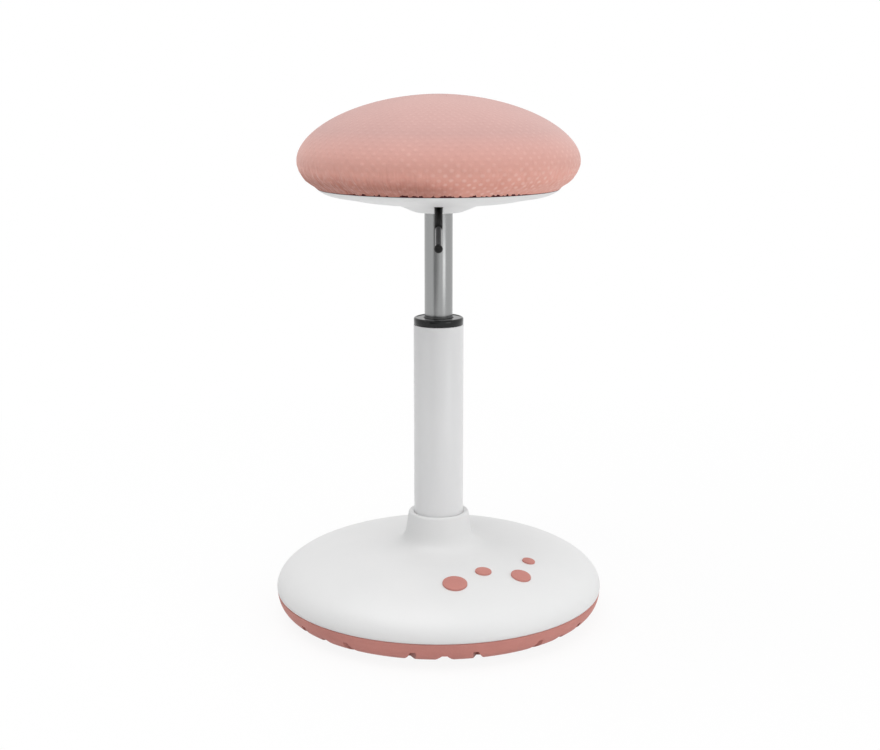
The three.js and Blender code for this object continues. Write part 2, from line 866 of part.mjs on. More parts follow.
// The slot is as long as the sleeve needs at both ends of its swing
function cutLeverSlot(body) {
  const half = leverSleeveRadius + leverSlotSpare;
  const flat = hubBottom + shellFlatHeight;
  const raised = leverSlope - leverSwing;
  const nearDrop = pivotHeight - flat - shellWall;
  const farDrop = pivotHeight - flat;
  const near = pivotReach + nearDrop / Math.tan(leverSlope) - half / Math.sin(leverSlope) + half;
  const far = pivotReach + farDrop / Math.tan(raised) + half / Math.sin(raised) - half;
  const low = hubBottom;
  const high = flat + shellFlatHeight;
  const slot = block([half * 2, far - near, high - low], [0, -(near + far) / 2, (low + high) / 2]);
  const ends = [[0, -near], [0, -far]];
  return drill(body.subtract(toSolid(slot)), ends, half, low, high, smallSides);
}

function roundedSquare(half, corner) {
  const shape = new THREE.Shape();
  const inner = half - corner;
  const centres = [[inner, inner], [-inner, inner], [-inner, -inner], [inner, -inner]];
  centres.forEach(([x, y], i) => shape.absarc(x, y, corner, quarter * i, quarter * (i + 1)));
  return shape;
}

// Mount plate: a tapered cup for the cylinder, and two ears that hold the lever's pin
function makeMountPlate() {
  const sheet = new THREE.ExtrudeGeometry(roundedSquare(plateHalf, plateCorner), {
    depth: plateThickness,
    bevelEnabled: false,
    curveSegments: roundSteps,
  });
  const taperRadius = cylinderRadius - cylinderTaperDrop + seatGap;
  const bore = revolve([
    [0, cupBottom - overrun],
    [cylinderRadius + seatGap, cupBottom - overrun],
    [cylinderRadius + seatGap, hubBottom + hubFloor],
    [taperRadius, cylinderTop],
    [taperRadius, rimTop + overrun],
    [0, rimTop + overrun],
  ], columnSides);
  const pinRadius = leverPinRadius + runGap;
  const pinBore = new THREE.CylinderGeometry(pinRadius, pinRadius, plateHalf, smallSides).rotateZ(quarter);
  const body = toSolid(sheet.translate(0, 0, plateBottom))
    .add(toSolid(disc(cupRadius, cupBottom, rimTop, columnSides)))
    .subtract(toSolid(bore))
    .subtract(toSolid(leverPath()))
    .add(toSolid(makeEar(-1)))
    .add(toSolid(makeEar(1)))
    .subtract(toSolid(pinBore.translate(0, -pivotReach, pivotHeight)));
  const low = plateBottom - overrun;
  const forBoard = drill(body, mountScrewSpots, mountScrewRadius + runGap, low, rimTop + overrun);
  return drill(forBoard, shellScrewSpots, shellScrewRadius + runGap, low, rimTop + overrun);
}

// The way that the lever takes through the plate and the cup's front wall
function leverPath() {
  const outer = pivotReach + eyeRadius + leverSleeveSetback;
  const inner = cylinderRadius - cupWall;
  const low = plateBottom - earDrop;
  const high = rimTop + overrun;
  const size = [(eyeHalfWidth + seatGap) * 2, outer - inner, high - low];
  return block(size, [0, -(outer + inner) / 2, (high + low) / 2]);
}

function makeEar(side) {
  const low = plateBottom - earDrop;
  const high = rimTop + earRise;
  const x = side * (eyeHalfWidth + seatGap + earThickness / 2);
  return block([earThickness, earHalfLength * 2, high - low], [x, -pivotReach, (high + low) / 2]);
}

function makeBoard() {
  const roundCentre = [boardRadius - boardEdgeRound, boardTop - boardEdgeRound];
  const body = toSolid(revolve([
    [boardBoreRadius, boardBottom],
    [boardRadius, boardBottom],
    ...arc(roundCentre, boardEdgeRound, 0, quarter),
    [boardBoreRadius, boardTop],
  ], seatSides));
  const low = boardBottom - overrun;
  return drill(body, mountScrewSpots, mountScrewRadius + runGap, low, boardTop + overrun);
}

// Cushion section: a full crown above the widest ring, and sides drawn in below it
function cushionOutline() {
  const startAngle = Math.acos((boardRadius + coverThickness - cushionTuckRadius) / cushionTuckRun);
  const tuck = Array.from({ length: tuckSteps }, (_, i) => {
    const angle = startAngle * (1 - i / tuckSteps);
    const reach = cushionTuckRun * Math.cos(angle);
    return [cushionTuckRadius + reach, cushionWidest - cushionTuckDrop * Math.sin(angle)];
  });
  const crown = Array.from({ length: crownSteps }, (_, i) => {
    const angle = (quarter * i) / crownSteps;
    const radius = cushionRadius * Math.cos(angle) ** (2 / cushionPlanShare);
    return [radius, cushionWidest + cushionCrownRise * Math.sin(angle) ** (2 / cushionCrownShare)];
  });
  return [...tuck, ...crown];
}

function makeCover() {
  const outer = cushionOutline();
  const lining = everySecond(offsetOutline(outer, coverThickness)).reverse();
  return revolve([
    [boardRadius + coverThickness - seatGap, boardBottom + seatGap],
    ...outer,
    [0, cushionTop],
    [0, cushionTop - coverThickness],
    ...lining,
    [boardRadius + seatGap, boardBottom + seatGap],
  ], seatSides);
}

function makeFoam() {
  const inset = coverThickness + seatGap;
  const skirtBottom = boardTop - foamSkirtDrop;
  const lining = everySecond(offsetOutline(cushionOutline(), inset));
  const side = lining.filter(([, height]) => height > skirtBottom);
  return revolve([
    [0, boardTop + seatGap],
    [boardRadius + seatGap, boardTop + seatGap],
    [boardRadius + seatGap, skirtBottom],
    ...side,
    [0, cushionTop - inset],
  ], seatSides);
}

// The lever is drawn along its own -Y axis, with its pin at the group's origin
const lever = new THREE.Group();
lever.position.set(0, -pivotReach, pivotHeight);
lever.rotation.x = leverSlope;
stool.add(lever);

const alongLever = (reach) => (pivotReach - reach) / Math.cos(leverSlope);

function turnedOnLever(outline) {
  return revolve(outline, smallSides).rotateX(-quarter);
}

function makeLeverRod() {
  const ballBack = alongLever(leverBallReach) + leverBallRadius;
  const innerEnd = alongLever(-leverInnerReach);
  const body = toSolid(turnedOnLever([
    [0, ballBack - leverStudLength],
    [leverStudRadius, ballBack - leverStudLength],
    [leverStudRadius, ballBack],
    [leverRodRadius, ballBack],
    [leverRodRadius, innerEnd - leverRodRadius / 2],
    [leverRodRadius / 2, innerEnd],
    [0, innerEnd],
  ]));
  const across = (radius, length) => toSolid(
    new THREE.CylinderGeometry(radius, radius, length, smallSides).rotateZ(quarter),
  );
  const bore = across(leverPinRadius + runGap, eyeHalfWidth * 2 + overrun);
  return body.add(across(eyeRadius, eyeHalfWidth * 2)).subtract(bore);
}

function makeLeverSleeve() {
  const start = alongLever(pivotReach + leverSleeveSetback);
  const end = alongLever(leverSleeveEnd);
  const bore = leverRodRadius + runGap;
  return turnedOnLever([
    [bore, end],
    [leverSleeveRadius - leverSleeveChamfer / 2, end],
    [leverSleeveRadius, end + leverSleeveChamfer],
    [leverSleeveRadius, start],
    [bore, start],
  ]);
}

// The ball has a blind bore in its back for the rod's stud
function makeLeverBall() {
  const centre = alongLever(leverBallReach);
  const bore = leverStudRadius + runGap;
  const floor = centre + leverBallRadius - leverStudLength - runGap;
  const mouth = Math.acos(bore / leverBallRadius);
  return turnedOnLever([
    [bore, floor],
    ...arc([0, centre], leverBallRadius, mouth, -quarter, longSteps).slice(0, -1),
    [0, centre - leverBallRadius],
    [0, floor],
  ]);
}

function makeLeverPin() {
  const length = (eyeHalfWidth + seatGap + earThickness + leverPinOverhang) * 2;
  return new THREE.CylinderGeometry(leverPinRadius, leverPinRadius, length, smallSides).rotateZ(quarter);
}

// The lever rests on the pin's dome and pushes it into the cylinder's valve
function makeValvePin() {
  const rodAxis = pivotHeight + pivotReach * Math.tan(leverSlope);
  const centre = rodAxis - (leverRodRadius + valveDomeRadius + seatGap) / Math.cos(leverSlope);
  const headBottom = centre - valveHeadDrop;
  const domeStart = Math.acos(valveHeadRadius / valveDomeRadius);
  return revolve([
    [0, cylinderTop - valveStemLength],
    [valveStemRadius, cylinderTop - valveStemLength],
    [valveStemRadius, headBottom],
    [valveHeadRadius, headBottom],
    ...arc([0, centre], valveDomeRadius, domeStart, quarter).slice(0, -1),
    [0, centre + valveDomeRadius],
  ], smallSides);
}

// Height and slope of the base moulding at a distance from the axis
function baseSurfaceAt(reach) {
  const outline = baseOutline();
  const next = outline.findIndex(([radius, height]) => radius < reach && height > widestHeight);
  const [outerRadius, outerHeight] = outline[next - 1];
  const [innerRadius, innerHeight] = outline[next];
  const slope = (innerHeight - outerHeight) / (outerRadius - innerRadius);
  return { height: outerHeight + slope * (outerRadius - reach), tilt: Math.atan(slope) };
}

// A dot is a low button that stands square to the moulding and is cut to its surface
function makeDot({ bearing, reachShare, sizeShare }, ground) {
  const reach = shoulderRadius * reachShare;
  const radius = dotRadius * sizeShare;
  const { height, tilt } = baseSurfaceAt(reach);
  const top = dotHeight + seatGap;
  const button = revolve([
    [0, -baseWall],
    [radius, -baseWall],
    [radius, top - dotRound],
    [radius - dotRound, top],
    [0, top + dotCrown],
  ], smallSides);
  button.rotateY(tilt).translate(reach, 0, height).rotateZ(bearing - quarter);
  return toSolid(button).subtract(ground);
}

function dotGround() {
  const surface = offsetOutline(baseOutline(), -seatGap);
  const top = surface[surface.length - 1][1];
  return toSolid(revolve([[0, partingHeight], ...surface, [0, top]], baseSides));
}

// Base and column
place('sole', makeSole(), palette.pinkRubber);
place('base_shell', makeBaseShell(), palette.whitePlastic);
place('ballast_plate', makeBallast(), palette.castIron);
place('column_socket', makeSocket(), palette.zincSteel);
const baseScrewLength = ballastTop + seatGap + baseScrewBite - baseScrewSeat;
const baseScrew = screw(baseScrewHeadRadius, baseScrewHeadHeight, baseScrewRadius, baseScrewLength);
placeEach('base_screw', baseScrewSpots, baseScrewSeat, baseScrew, palette.zincSteel);
const socketBoltLength = ballastThickness + socketFloor;
const socketBolt = screw(socketBoltHeadRadius, socketBoltHeadHeight, socketBoltRadius, socketBoltLength);
socketBolt.rotateX(Math.PI);
placeEach('socket_bolt', socketBoltSpots, socketFloorTop + seatGap, socketBolt, palette.zincSteel);
place('column_tube', makeColumn(), palette.whiteEnamel);
place('column_end_plate', makeEndPlate(), palette.zincSteel);
place('thrust_washer_lower', makeWasher(lowerWasherBottom), palette.zincSteel);
place('guide_bush', makeGuideBush(), palette.blackPlastic);
const ground = dotGround();
dots.forEach((dot, i) => place(`mark_dot_${i + 1}`, makeDot(dot, ground), palette.pinkRubber));

// Swivelling spindle and its ball bearing
place('piston_rod', makeRod(), palette.brightSteel);
place('piston', makePiston(), palette.blackPlastic);
place('thrust_washer_upper', makeWasher(upperWasherBottom), palette.zincSteel);
place('bump_stop', makeBumper(), palette.blackRubber);
place('retaining_clip', makeClip(), palette.zincSteel);
place('bearing_cage', makeCage(), palette.blackPlastic);
const ball = new THREE.SphereGeometry(ballRadius, ballSides, ballSides).rotateX(quarter);
placeEach('bearing_ball', ballSpots, cageMiddle, ball, palette.brightSteel);

// Seat
place('lift_cylinder', makeCylinder(), palette.brightSteel);
place('rod_guide', makeRodGuide(), palette.blackPlastic);
place('mount_plate', makeMountPlate(), palette.zincSteel);
const mountScrewSeat = plateBottom - seatGap;
const mountScrewLength = boardTop - mountScrewShy - mountScrewSeat;
const mountScrew = screw(mountScrewHeadRadius, mountScrewHeadHeight, mountScrewRadius, mountScrewLength);
placeEach('mount_screw', mountScrewSpots, mountScrewSeat, mountScrew, palette.zincSteel);
place('seat_shell', makeSeatShell(), palette.whitePlastic);
const shellScrewLength = rimTop - shellScrewSeat;
const shellScrew = screw(shellScrewHeadRadius, shellScrewHeadHeight, shellScrewRadius, shellScrewLength);
placeEach('shell_screw', shellScrewSpots, shellScrewSeat, shellScrew, palette.zincSteel);
place('seat_board', makeBoard(), palette.plywood);
place('seat_foam', makeFoam(), palette.foam);
place('seat_cover', makeCover(), palette.pinkFabric);

// Lever and valve
place('lever_pin', makeLeverPin(), palette.brightSteel, lever);
place('lever_rod', makeLeverRod(), palette.brightSteel, lever);
place('lever_sleeve', makeLeverSleeve(), palette.blackPlastic, lever);
place('lever_ball', makeLeverBall(), palette.blackPlastic, lever);
place('valve_pin', makeValvePin(), palette.brightSteel);

export default stool;
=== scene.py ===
import math

import bmesh
import bpy
from mathutils import Matrix, Vector, geometry, noise


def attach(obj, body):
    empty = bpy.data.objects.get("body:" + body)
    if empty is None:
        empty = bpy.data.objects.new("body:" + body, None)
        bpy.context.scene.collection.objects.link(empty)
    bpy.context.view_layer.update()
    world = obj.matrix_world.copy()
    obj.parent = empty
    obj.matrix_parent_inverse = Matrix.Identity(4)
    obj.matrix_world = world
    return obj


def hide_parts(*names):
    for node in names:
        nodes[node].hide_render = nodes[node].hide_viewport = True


# Wobble stool. Metres, the floor at z = 0, the column's axis at x = y = 0, front at -Y.
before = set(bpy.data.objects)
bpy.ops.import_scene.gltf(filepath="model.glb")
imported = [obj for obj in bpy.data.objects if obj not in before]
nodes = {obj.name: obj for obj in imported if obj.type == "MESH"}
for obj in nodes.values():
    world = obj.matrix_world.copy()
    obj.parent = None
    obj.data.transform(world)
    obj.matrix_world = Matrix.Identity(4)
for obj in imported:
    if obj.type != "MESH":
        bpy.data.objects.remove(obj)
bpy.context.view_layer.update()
scene = bpy.context.scene
print("frame loaded")

fullTurn = 2 * math.pi
mm = 0.001


# Mesh helpers

def bezierRun(start, startHandle, endHandle, end, count=16):
    corners = [Vector((radius, height, 0)) for radius, height in (start, startHandle, endHandle, end)]
    return [(point.x, point.y) for point in geometry.interpolate_bezier(*corners, count)]


def arcRun(centre, radius, startAngle, endAngle, count=6):
    run = []
    for i in range(count + 1):
        angle = math.radians(startAngle + (endAngle - startAngle) * i / count)
        run.append((centre[0] + radius * math.cos(angle), centre[1] + radius * math.sin(angle)))
    return run


def turnProfile(work, profile, steps=128, closed=True):
    # profile is (radius, height) in mm, spun round the Z axis
    corners = [work.verts.new((radius * mm, 0, height * mm)) for radius, height in profile]
    pairs = list(zip(corners, corners[1:]))
    if closed:
        pairs.append((corners[-1], corners[0]))
    edges = [work.edges.new(pair) for pair in pairs]
    bmesh.ops.spin(work, geom=corners + edges, axis=(0, 0, 1), cent=(0, 0, 0), angle=fullTurn,
                   steps=steps, use_merge=True, use_duplicate=False)
    bmesh.ops.remove_doubles(work, verts=work.verts, dist=1e-6)
    bmesh.ops.recalc_face_normals(work, faces=work.faces)


def roundEdges(work, width, angle=35, segments=3):
    sharp = [e for e in work.edges if e.is_manifold and e.calc_face_angle(0) > math.radians(angle)]
    bmesh.ops.bevel(work, geom=sharp, offset=width * mm, offset_type="OFFSET", segments=segments,
                    profile=0.5, affect="EDGES", clamp_overlap=True, material=-1)


def addRod(work, radius, low, high, x=0, y=0, segments=32):
    # an upright rod or, with few segments, a bar; sizes in mm
    made = bmesh.ops.create_cone(work, cap_ends=True, segments=segments, radius1=radius * mm,
                                 radius2=radius * mm, depth=(high - low) * mm)["verts"]
    bmesh.ops.translate(work, verts=made, vec=(x * mm, y * mm, (low + high) / 2 * mm))


def makePiece(name, work, smoothAngle=40):
    mesh = bpy.data.meshes.new(name)
    work.to_mesh(mesh)
    work.free()
    mesh.shade_smooth()
    mesh.set_sharp_from_angle(angle=math.radians(smoothAngle))
    piece = bpy.data.objects.new(name, mesh)
    scene.collection.objects.link(piece)
    return piece


def turned(name, profile, steps=128, edgeRound=0, closed=True, smoothAngle=40):
    work = bmesh.new()
    turnProfile(work, profile, steps, closed)
    if edgeRound:
        roundEdges(work, edgeRound)
    return makePiece(name, work, smoothAngle)


def carve(piece, cutterWork, smoothAngle=40, operation="DIFFERENCE"):
    cutter = makePiece("cutter", cutterWork)
    cut = piece.modifiers.new("cut", "BOOLEAN")
    cut.operation = operation
    cut.solver = "EXACT"
    cut.object = cutter
    graph = bpy.context.evaluated_depsgraph_get()
    carved = bpy.data.meshes.new_from_object(piece.evaluated_get(graph))
    piece.modifiers.clear()
    piece.data = carved
    carved.set_sharp_from_angle(angle=math.radians(smoothAngle))
    bpy.data.objects.remove(cutter)


def settle(piece, body, slotName, material, *replaced):
    piece.data.materials.clear()
    piece.data.materials.append(material)
    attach(piece, body)
    if replaced:
        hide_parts(*replaced)
    return piece


# Material helpers

def addNode(tree, kind, inputs=(), **settings):
    node = tree.nodes.new(kind)
    for key, value in settings.items():
        setattr(node, key, value)
    for key, value in dict(inputs).items():
        if isinstance(value, bpy.types.NodeSocket):
            tree.links.new(value, node.inputs[key])
        else:
            node.inputs[key].default_value = value
    return node


def newMaterial(name, viewColour):
    material = bpy.data.materials.new(name)
    material.use_nodes = True
    material.diffuse_color = (*viewColour, 1)
    return material, material.node_tree, material.node_tree.nodes["Principled BSDF"]


def reckon(tree, operation, first, second, clamp=False):
    # one step of arithmetic on numbers or sockets
    node = addNode(tree, "ShaderNodeMath", {0: first, 1: second}, operation=operation, use_clamp=clamp)
    return node.outputs[0]


def reckonVector(tree, operation, first, second=(0, 0, 0)):
    node = addNode(tree, "ShaderNodeVectorMath", {0: first, 1: second}, operation=operation)
    return node.outputs["Value" if operation in ("DOT_PRODUCT", "LENGTH") else "Vector"]


def addBump(tree, height, strength, distance, under=None):
    inputs = {"Height": height, "Strength": strength, "Distance": distance * mm}
    if under:
        inputs["Normal"] = under
    return addNode(tree, "ShaderNodeBump", inputs).outputs["Normal"]


def spread(tree, factor, low, high, fromLow=0.3, fromHigh=0.7):
    # a value that runs fromLow to fromHigh, made to run from low to high and held there
    inputs = {"Value": factor, "From Min": fromLow, "From Max": fromHigh, "To Min": low, "To Max": high}
    return addNode(tree, "ShaderNodeMapRange", inputs).outputs["Result"]


def blendColour(tree, factor, first, second, mode="MIX"):
    node = addNode(tree, "ShaderNodeMix", data_type="RGBA", blend_type=mode)
    for socket, value in ((node.inputs[0], factor), (node.inputs[6], first), (node.inputs[7], second)):
        if isinstance(value, bpy.types.NodeSocket):
            tree.links.new(value, socket)
        else:
            socket.default_value = value if isinstance(value, float) else (*value, 1)
    return node.outputs[2]


def objectCoords(tree):
    return addNode(tree, "ShaderNodeTexCoord").outputs["Object"]


def alongAxis(tree, axis):
    return addNode(tree, "ShaderNodeSeparateXYZ", {0: objectCoords(tree)}).outputs[axis]


def objectNoise(tree, scale, stretch=(1, 1, 1), detail=3.0, roughness=0.55, distortion=0.0):
    mapped = addNode(tree, "ShaderNodeMapping", {"Vector": objectCoords(tree), "Scale": stretch})
    inputs = {"Vector": mapped.outputs["Vector"], "Scale": scale, "Detail": detail,
              "Roughness": roughness, "Distortion": distortion}
    return addNode(tree, "ShaderNodeTexNoise", inputs).outputs["Fac"]


def edgeMask(tree, radius, low=0.02, high=0.25):
    # 0 on flat faces, up to 1 where an edge turns
    soft = addNode(tree, "ShaderNodeBevel", {"Radius": radius * mm}, samples=4).outputs["Normal"]
    flat = addNode(tree, "ShaderNodeNewGeometry").outputs["Normal"]
    turn = reckon(tree, "SUBTRACT", 1.0, reckonVector(tree, "DOT_PRODUCT", soft, flat))
    return spread(tree, turn, 0.0, 1.0, low, high)


wearRange = {"speckle": (0.55, 0.7), "edgeScale": 260, "edge": (0.35, 0.65)}


def finishOf(name, look):
    # two tones in clouds, speckles, worn edges, and one fine noise for both roughness and bump
    material, tree, shader = newMaterial(name, look["tone"])
    stretch = look.get("stretch", (1, 1, 1))
    cloud = objectNoise(tree, look["cloudScale"], stretch)
    tones = blendColour(tree, spread(tree, cloud, 0.0, 1.0), look["tone"], look["secondTone"])
    if "speckleTone" in look:
        speckle = objectNoise(tree, look["speckleScale"], detail=1.0)
        share = spread(tree, speckle, 0.0, look["speckleShare"], *wearRange["speckle"])
        tones = blendColour(tree, share, tones, look["speckleTone"])
    if "edgeTone" in look:
        ragged = objectNoise(tree, wearRange["edgeScale"])
        ragged = spread(tree, ragged, 0.0, look["edgeShare"], *wearRange["edge"])
        share = reckon(tree, "MULTIPLY", edgeMask(tree, look["edgeWidth"]), ragged)
        tones = blendColour(tree, share, tones, look["edgeTone"])
    tree.links.new(tones, shader.inputs["Base Color"])
    grain = objectNoise(tree, look["grainScale"], stretch, detail=look.get("grainDetail", 4.0))
    tree.links.new(spread(tree, grain, *look["roughness"]), shader.inputs["Roughness"])
    tree.links.new(addBump(tree, grain, 0.5, look["grainDepth"]), shader.inputs["Normal"])
    shader.inputs["Metallic"].default_value = look.get("metallic", 0.0)
    if "coat" in look:
        shader.inputs["Coat Weight"].default_value = look["coat"]
        shader.inputs["Coat Roughness"].default_value = look["coatRoughness"]
    if "specular" in look:
        shader.inputs["Specular IOR Level"].default_value = look["specular"]
    return material


whitePlasticLook = {
    "tone": (0.78, 0.78, 0.78), "secondTone": (0.75, 0.755, 0.755), "cloudScale": 9.0,
    "speckleTone": (0.72, 0.72, 0.715), "speckleScale": 700.0, "speckleShare": 0.10,
    "roughness": (0.42, 0.52), "grainScale": 1500.0, "grainDepth": 0.05,
}
whiteEnamelLook = {
    "tone": (0.76, 0.76, 0.765), "secondTone": (0.735, 0.74, 0.745), "cloudScale": 14.0,
    "roughness": (0.28, 0.36), "grainScale": 420.0, "grainDepth": 0.06, "grainDetail": 1.0,
    "coat": 0.25, "coatRoughness": 0.15,
}
pinkRubberLook = {
    "tone": (0.56, 0.225, 0.19), "secondTone": (0.51, 0.20, 0.17), "cloudScale": 22.0,
    "speckleTone": (0.62, 0.30, 0.26), "speckleScale": 900.0, "speckleShare": 0.25,
    "edgeTone": (0.64, 0.32, 0.28), "edgeWidth": 0.7, "edgeShare": 0.35,
    "roughness": (0.55, 0.70), "grainScale": 1300.0, "grainDepth": 0.08,
}
blackPlasticLook = {
    "tone": (0.006, 0.007, 0.007), "secondTone": (0.01, 0.011, 0.011), "cloudScale": 40.0,
    "edgeTone": (0.02, 0.02, 0.02), "edgeWidth": 0.4, "edgeShare": 0.3, "specular": 0.3,
    "roughness": (0.03, 0.08), "grainScale": 800.0, "grainDepth": 0.003,
}
blackGripLook = {
    "tone": (0.008, 0.008, 0.008), "secondTone": (0.014, 0.014, 0.014), "cloudScale": 60.0,
    "roughness": (0.45, 0.6), "grainScale": 1600.0, "grainDepth": 0.05, "specular": 0.15,
}
blackRubberLook = {
    "tone": (0.02, 0.02, 0.02), "secondTone": (0.03, 0.029, 0.028), "cloudScale": 60.0,
    "roughness": (0.7, 0.85), "grainScale": 1200.0, "grainDepth": 0.1,
}
brightSteelLook = {
    "tone": (0.335, 0.34, 0.34), "secondTone": (0.305, 0.31, 0.31), "cloudScale": 45.0,
    "stretch": (1, 1, 0.08), "roughness": (0.2, 0.26), "grainScale": 420.0, "grainDepth": 0.006,
    "metallic": 1.0,
}
# bright steel for the lever, toned much darker as a painted reflection: it stands for the dark reflection
# down the rod's middle
shadedLeverSteelLook = {
    "tone": (0.075, 0.075, 0.077), "secondTone": (0.055, 0.055, 0.057), "cloudScale": 80.0,
    "roughness": (0.12, 0.2), "grainScale": 600.0, "grainDepth": 0.01, "metallic": 1.0,
}
polishedSteelLook = {
    "tone": (0.50, 0.50, 0.50), "secondTone": (0.44, 0.44, 0.44), "cloudScale": 60.0,
    "roughness": (0.12, 0.2), "grainScale": 500.0, "grainDepth": 0.01, "metallic": 1.0,
}
zincSteelLook = {
    "tone": (0.42, 0.43, 0.44), "secondTone": (0.30, 0.31, 0.33), "cloudScale": 90.0,
    "edgeTone": (0.6, 0.6, 0.6), "edgeWidth": 0.4, "edgeShare": 0.5,
    "roughness": (0.35, 0.55), "grainScale": 380.0, "grainDepth": 0.05, "metallic": 1.0,
}
castIronLook = {
    "tone": (0.065, 0.065, 0.067), "secondTone": (0.10, 0.095, 0.09), "cloudScale": 35.0,
    "edgeTone": (0.2, 0.18, 0.16), "edgeWidth": 0.8, "edgeShare": 0.4,
    "roughness": (0.6, 0.8), "grainScale": 500.0, "grainDepth": 0.3, "metallic": 0.6,
}

whitePlastic = finishOf("whitePlastic", whitePlasticLook)
whiteEnamel = finishOf("whiteEnamel", whiteEnamelLook)
pinkRubber = finishOf("pinkRubber", pinkRubberLook)
blackPlastic = finishOf("blackPlastic", blackPlasticLook)
blackGrip = finishOf("blackGrip", blackGripLook)
blackRubber = finishOf("blackRubber", blackRubberLook)
brightSteel = finishOf("brightSteel", brightSteelLook)
shadedLeverSteel = finishOf("shadedLeverSteel", shadedLeverSteelLook)
polishedSteel = finishOf("polishedSteel", polishedSteelLook)
zincSteel = finishOf("zincSteel", zincSteelLook)
castIron = finishOf("castIron", castIronLook)

plywoodLook = {
    "faceTone": (0.52, 0.36, 0.20), "grainTone": (0.38, 0.24, 0.12), "plyTone": (0.30, 0.18, 0.09),
    "grainScale": 9.0, "grainStretch": (2.5, 40, 2.5), "grainRange": (0.4, 0.65), "grainDepth": 0.2,
    "plyPitch": 1.5, "plyShare": 0.7, "roughness": (0.6, 0.8),
}


def makePlywood(look):
    material, tree, shader = newMaterial("plywood", look["faceTone"])
    grain = objectNoise(tree, look["grainScale"], look["grainStretch"], detail=6.0, distortion=0.6)
    grained = spread(tree, grain, 0.0, 1.0, *look["grainRange"])
    face = blendColour(tree, grained, look["faceTone"], look["grainTone"])
    pitch = look["plyPitch"] * mm
    layers = reckon(tree, "PINGPONG", alongAxis(tree, "Z"), 2 * pitch)
    dark = spread(tree, layers, 0.0, look["plyShare"], pitch, pitch * 1.2)
    tree.links.new(blendColour(tree, dark, face, look["plyTone"]), shader.inputs["Base Color"])
    tree.links.new(spread(tree, grain, *look["roughness"]), shader.inputs["Roughness"])
    tree.links.new(addBump(tree, grain, 0.4, look["grainDepth"]), shader.inputs["Normal"])
    return material


plywood = makePlywood(plywoodLook)
print("finishes made")


# Base moulding: rim, shoulder, saddle and a neck that closes in on the column

base = {
    "foot": [(165.5, 26.7), (166.3, 27.5)],
    "rim": [(166.6, 29.6), (166.6, 41.6), (153.3, 51.1), (140, 56.8)],
    "saddle": [(140, 56.8), (117.2, 66.6), (94.4, 71), (64, 71)],
    "flare": [(64, 71), (44, 71), (35.65, 72.2), (33.2, 88.5)],
    "neckTop": 106, "neckRadius": 30.8, "lipRadius": 2.6, "bore": 25.3, "boreDepth": 6, "boreBevel": 1.2,
    "lining": [(28.4, 68), (64, 68), (94, 66.5), (140, 53), (153, 47), (162.5, 38), (163.2, 30),
               (163.2, 26.7)],
    "steps": 192,
}


def baseOutline():
    run = base["foot"] + bezierRun(*base["rim"], 18)
    return run + bezierRun(*base["saddle"], 16)[1:] + bezierRun(*base["flare"], 22)[1:]


def makeBaseShell():
    lip, top, bore = base["lipRadius"], base["neckTop"], base["bore"]
    crest = arcRun((base["neckRadius"] - lip, top - lip), lip, 0, 90)
    low = top - base["boreDepth"]
    inner = [(bore, top - base["boreBevel"]), (bore, low), (base["lining"][0][0], low)]
    outline = baseOutline() + crest + inner + base["lining"]
    return turned("baseShell", outline, base["steps"], smoothAngle=50)


settle(makeBaseShell(), "base", "white_plastic", whitePlastic, "base_shell")
print("base moulding made")


# Sole: rubber tread with notches in threes, screw wells and a rocker underside

sole = {
    "grooves": [(0, 0), (43.7, 0), (44.7, 2), (47.7, 2), (48.7, 0),
                (71.7, 0), (72.7, 2), (75.7, 2), (76.7, 0)],
    "rocker": [(112, 0), (125.1, 0), (138.1, 2), (151.2, 6)],
    "flank": [(151.2, 6), (158.7, 8.2), (165.1, 14.2), (166.15, 25.6)],
    "inside": [(165.4, 26.4), (158.2, 26.4), (150, 16), (0, 16)],
    "edge": 151.2, "steps": 240,
    "notchGroups": 8, "notchTurn": 2, "notchStep": 12.6, "notchSlant": 28, "notchDepth": 17,
    "notchFloor": -2,
    "broadNotch": {"foot": 19.5, "top": 5, "bottom": 6, "height": 7.4, "reach": 24},
    "slantNotch": {"foot": 10, "top": 5, "bottom": 6, "height": 11.2, "reach": 13},
    "screws": 6, "screwCircle": 98, "wellRadius": 5.8, "wellDepth": 8,
}


def soleScrewSpots():
    turns = [fullTurn * (i + 0.5) / sole["screws"] for i in range(sole["screws"])]
    return [(sole["screwCircle"] * math.cos(turn), sole["screwCircle"] * math.sin(turn)) for turn in turns]


def addNotch(work, kind, slant, direction):
    # a bar of trapezoid section from under the floor up into the flank, pointing out along +X
    length = kind["reach"] + sole["notchDepth"]
    top, low = kind["bottom"] + kind["height"], sole["notchFloor"]
    taper = (kind["foot"] - kind["top"]) / 2 / kind["height"]
    made = bmesh.ops.create_cube(work, size=1)["verts"]
    for corner in made:
        upper = corner.co.z > 0
        half = kind["top"] / 2 + (0 if upper else taper * (top - low))
        corner.co = Vector(((corner.co.x + 0.5) * length, corner.co.y * 2 * half, top if upper else low))
    slanted = Matrix.Rotation(math.radians(slant), 3, "Z")
    bmesh.ops.rotate(work, verts=made, cent=(0, 0, 0), matrix=slanted)
    shift = -length * math.sin(math.radians(slant)) / 2
    bmesh.ops.translate(work, verts=made, vec=(sole["edge"] - kind["reach"], shift, 0))
    aimed = Matrix.Rotation(math.radians(direction), 3, "Z")
    bmesh.ops.rotate(work, verts=made, cent=(0, 0, 0), matrix=aimed)
    bmesh.ops.scale(work, verts=made, vec=(mm, mm, mm))


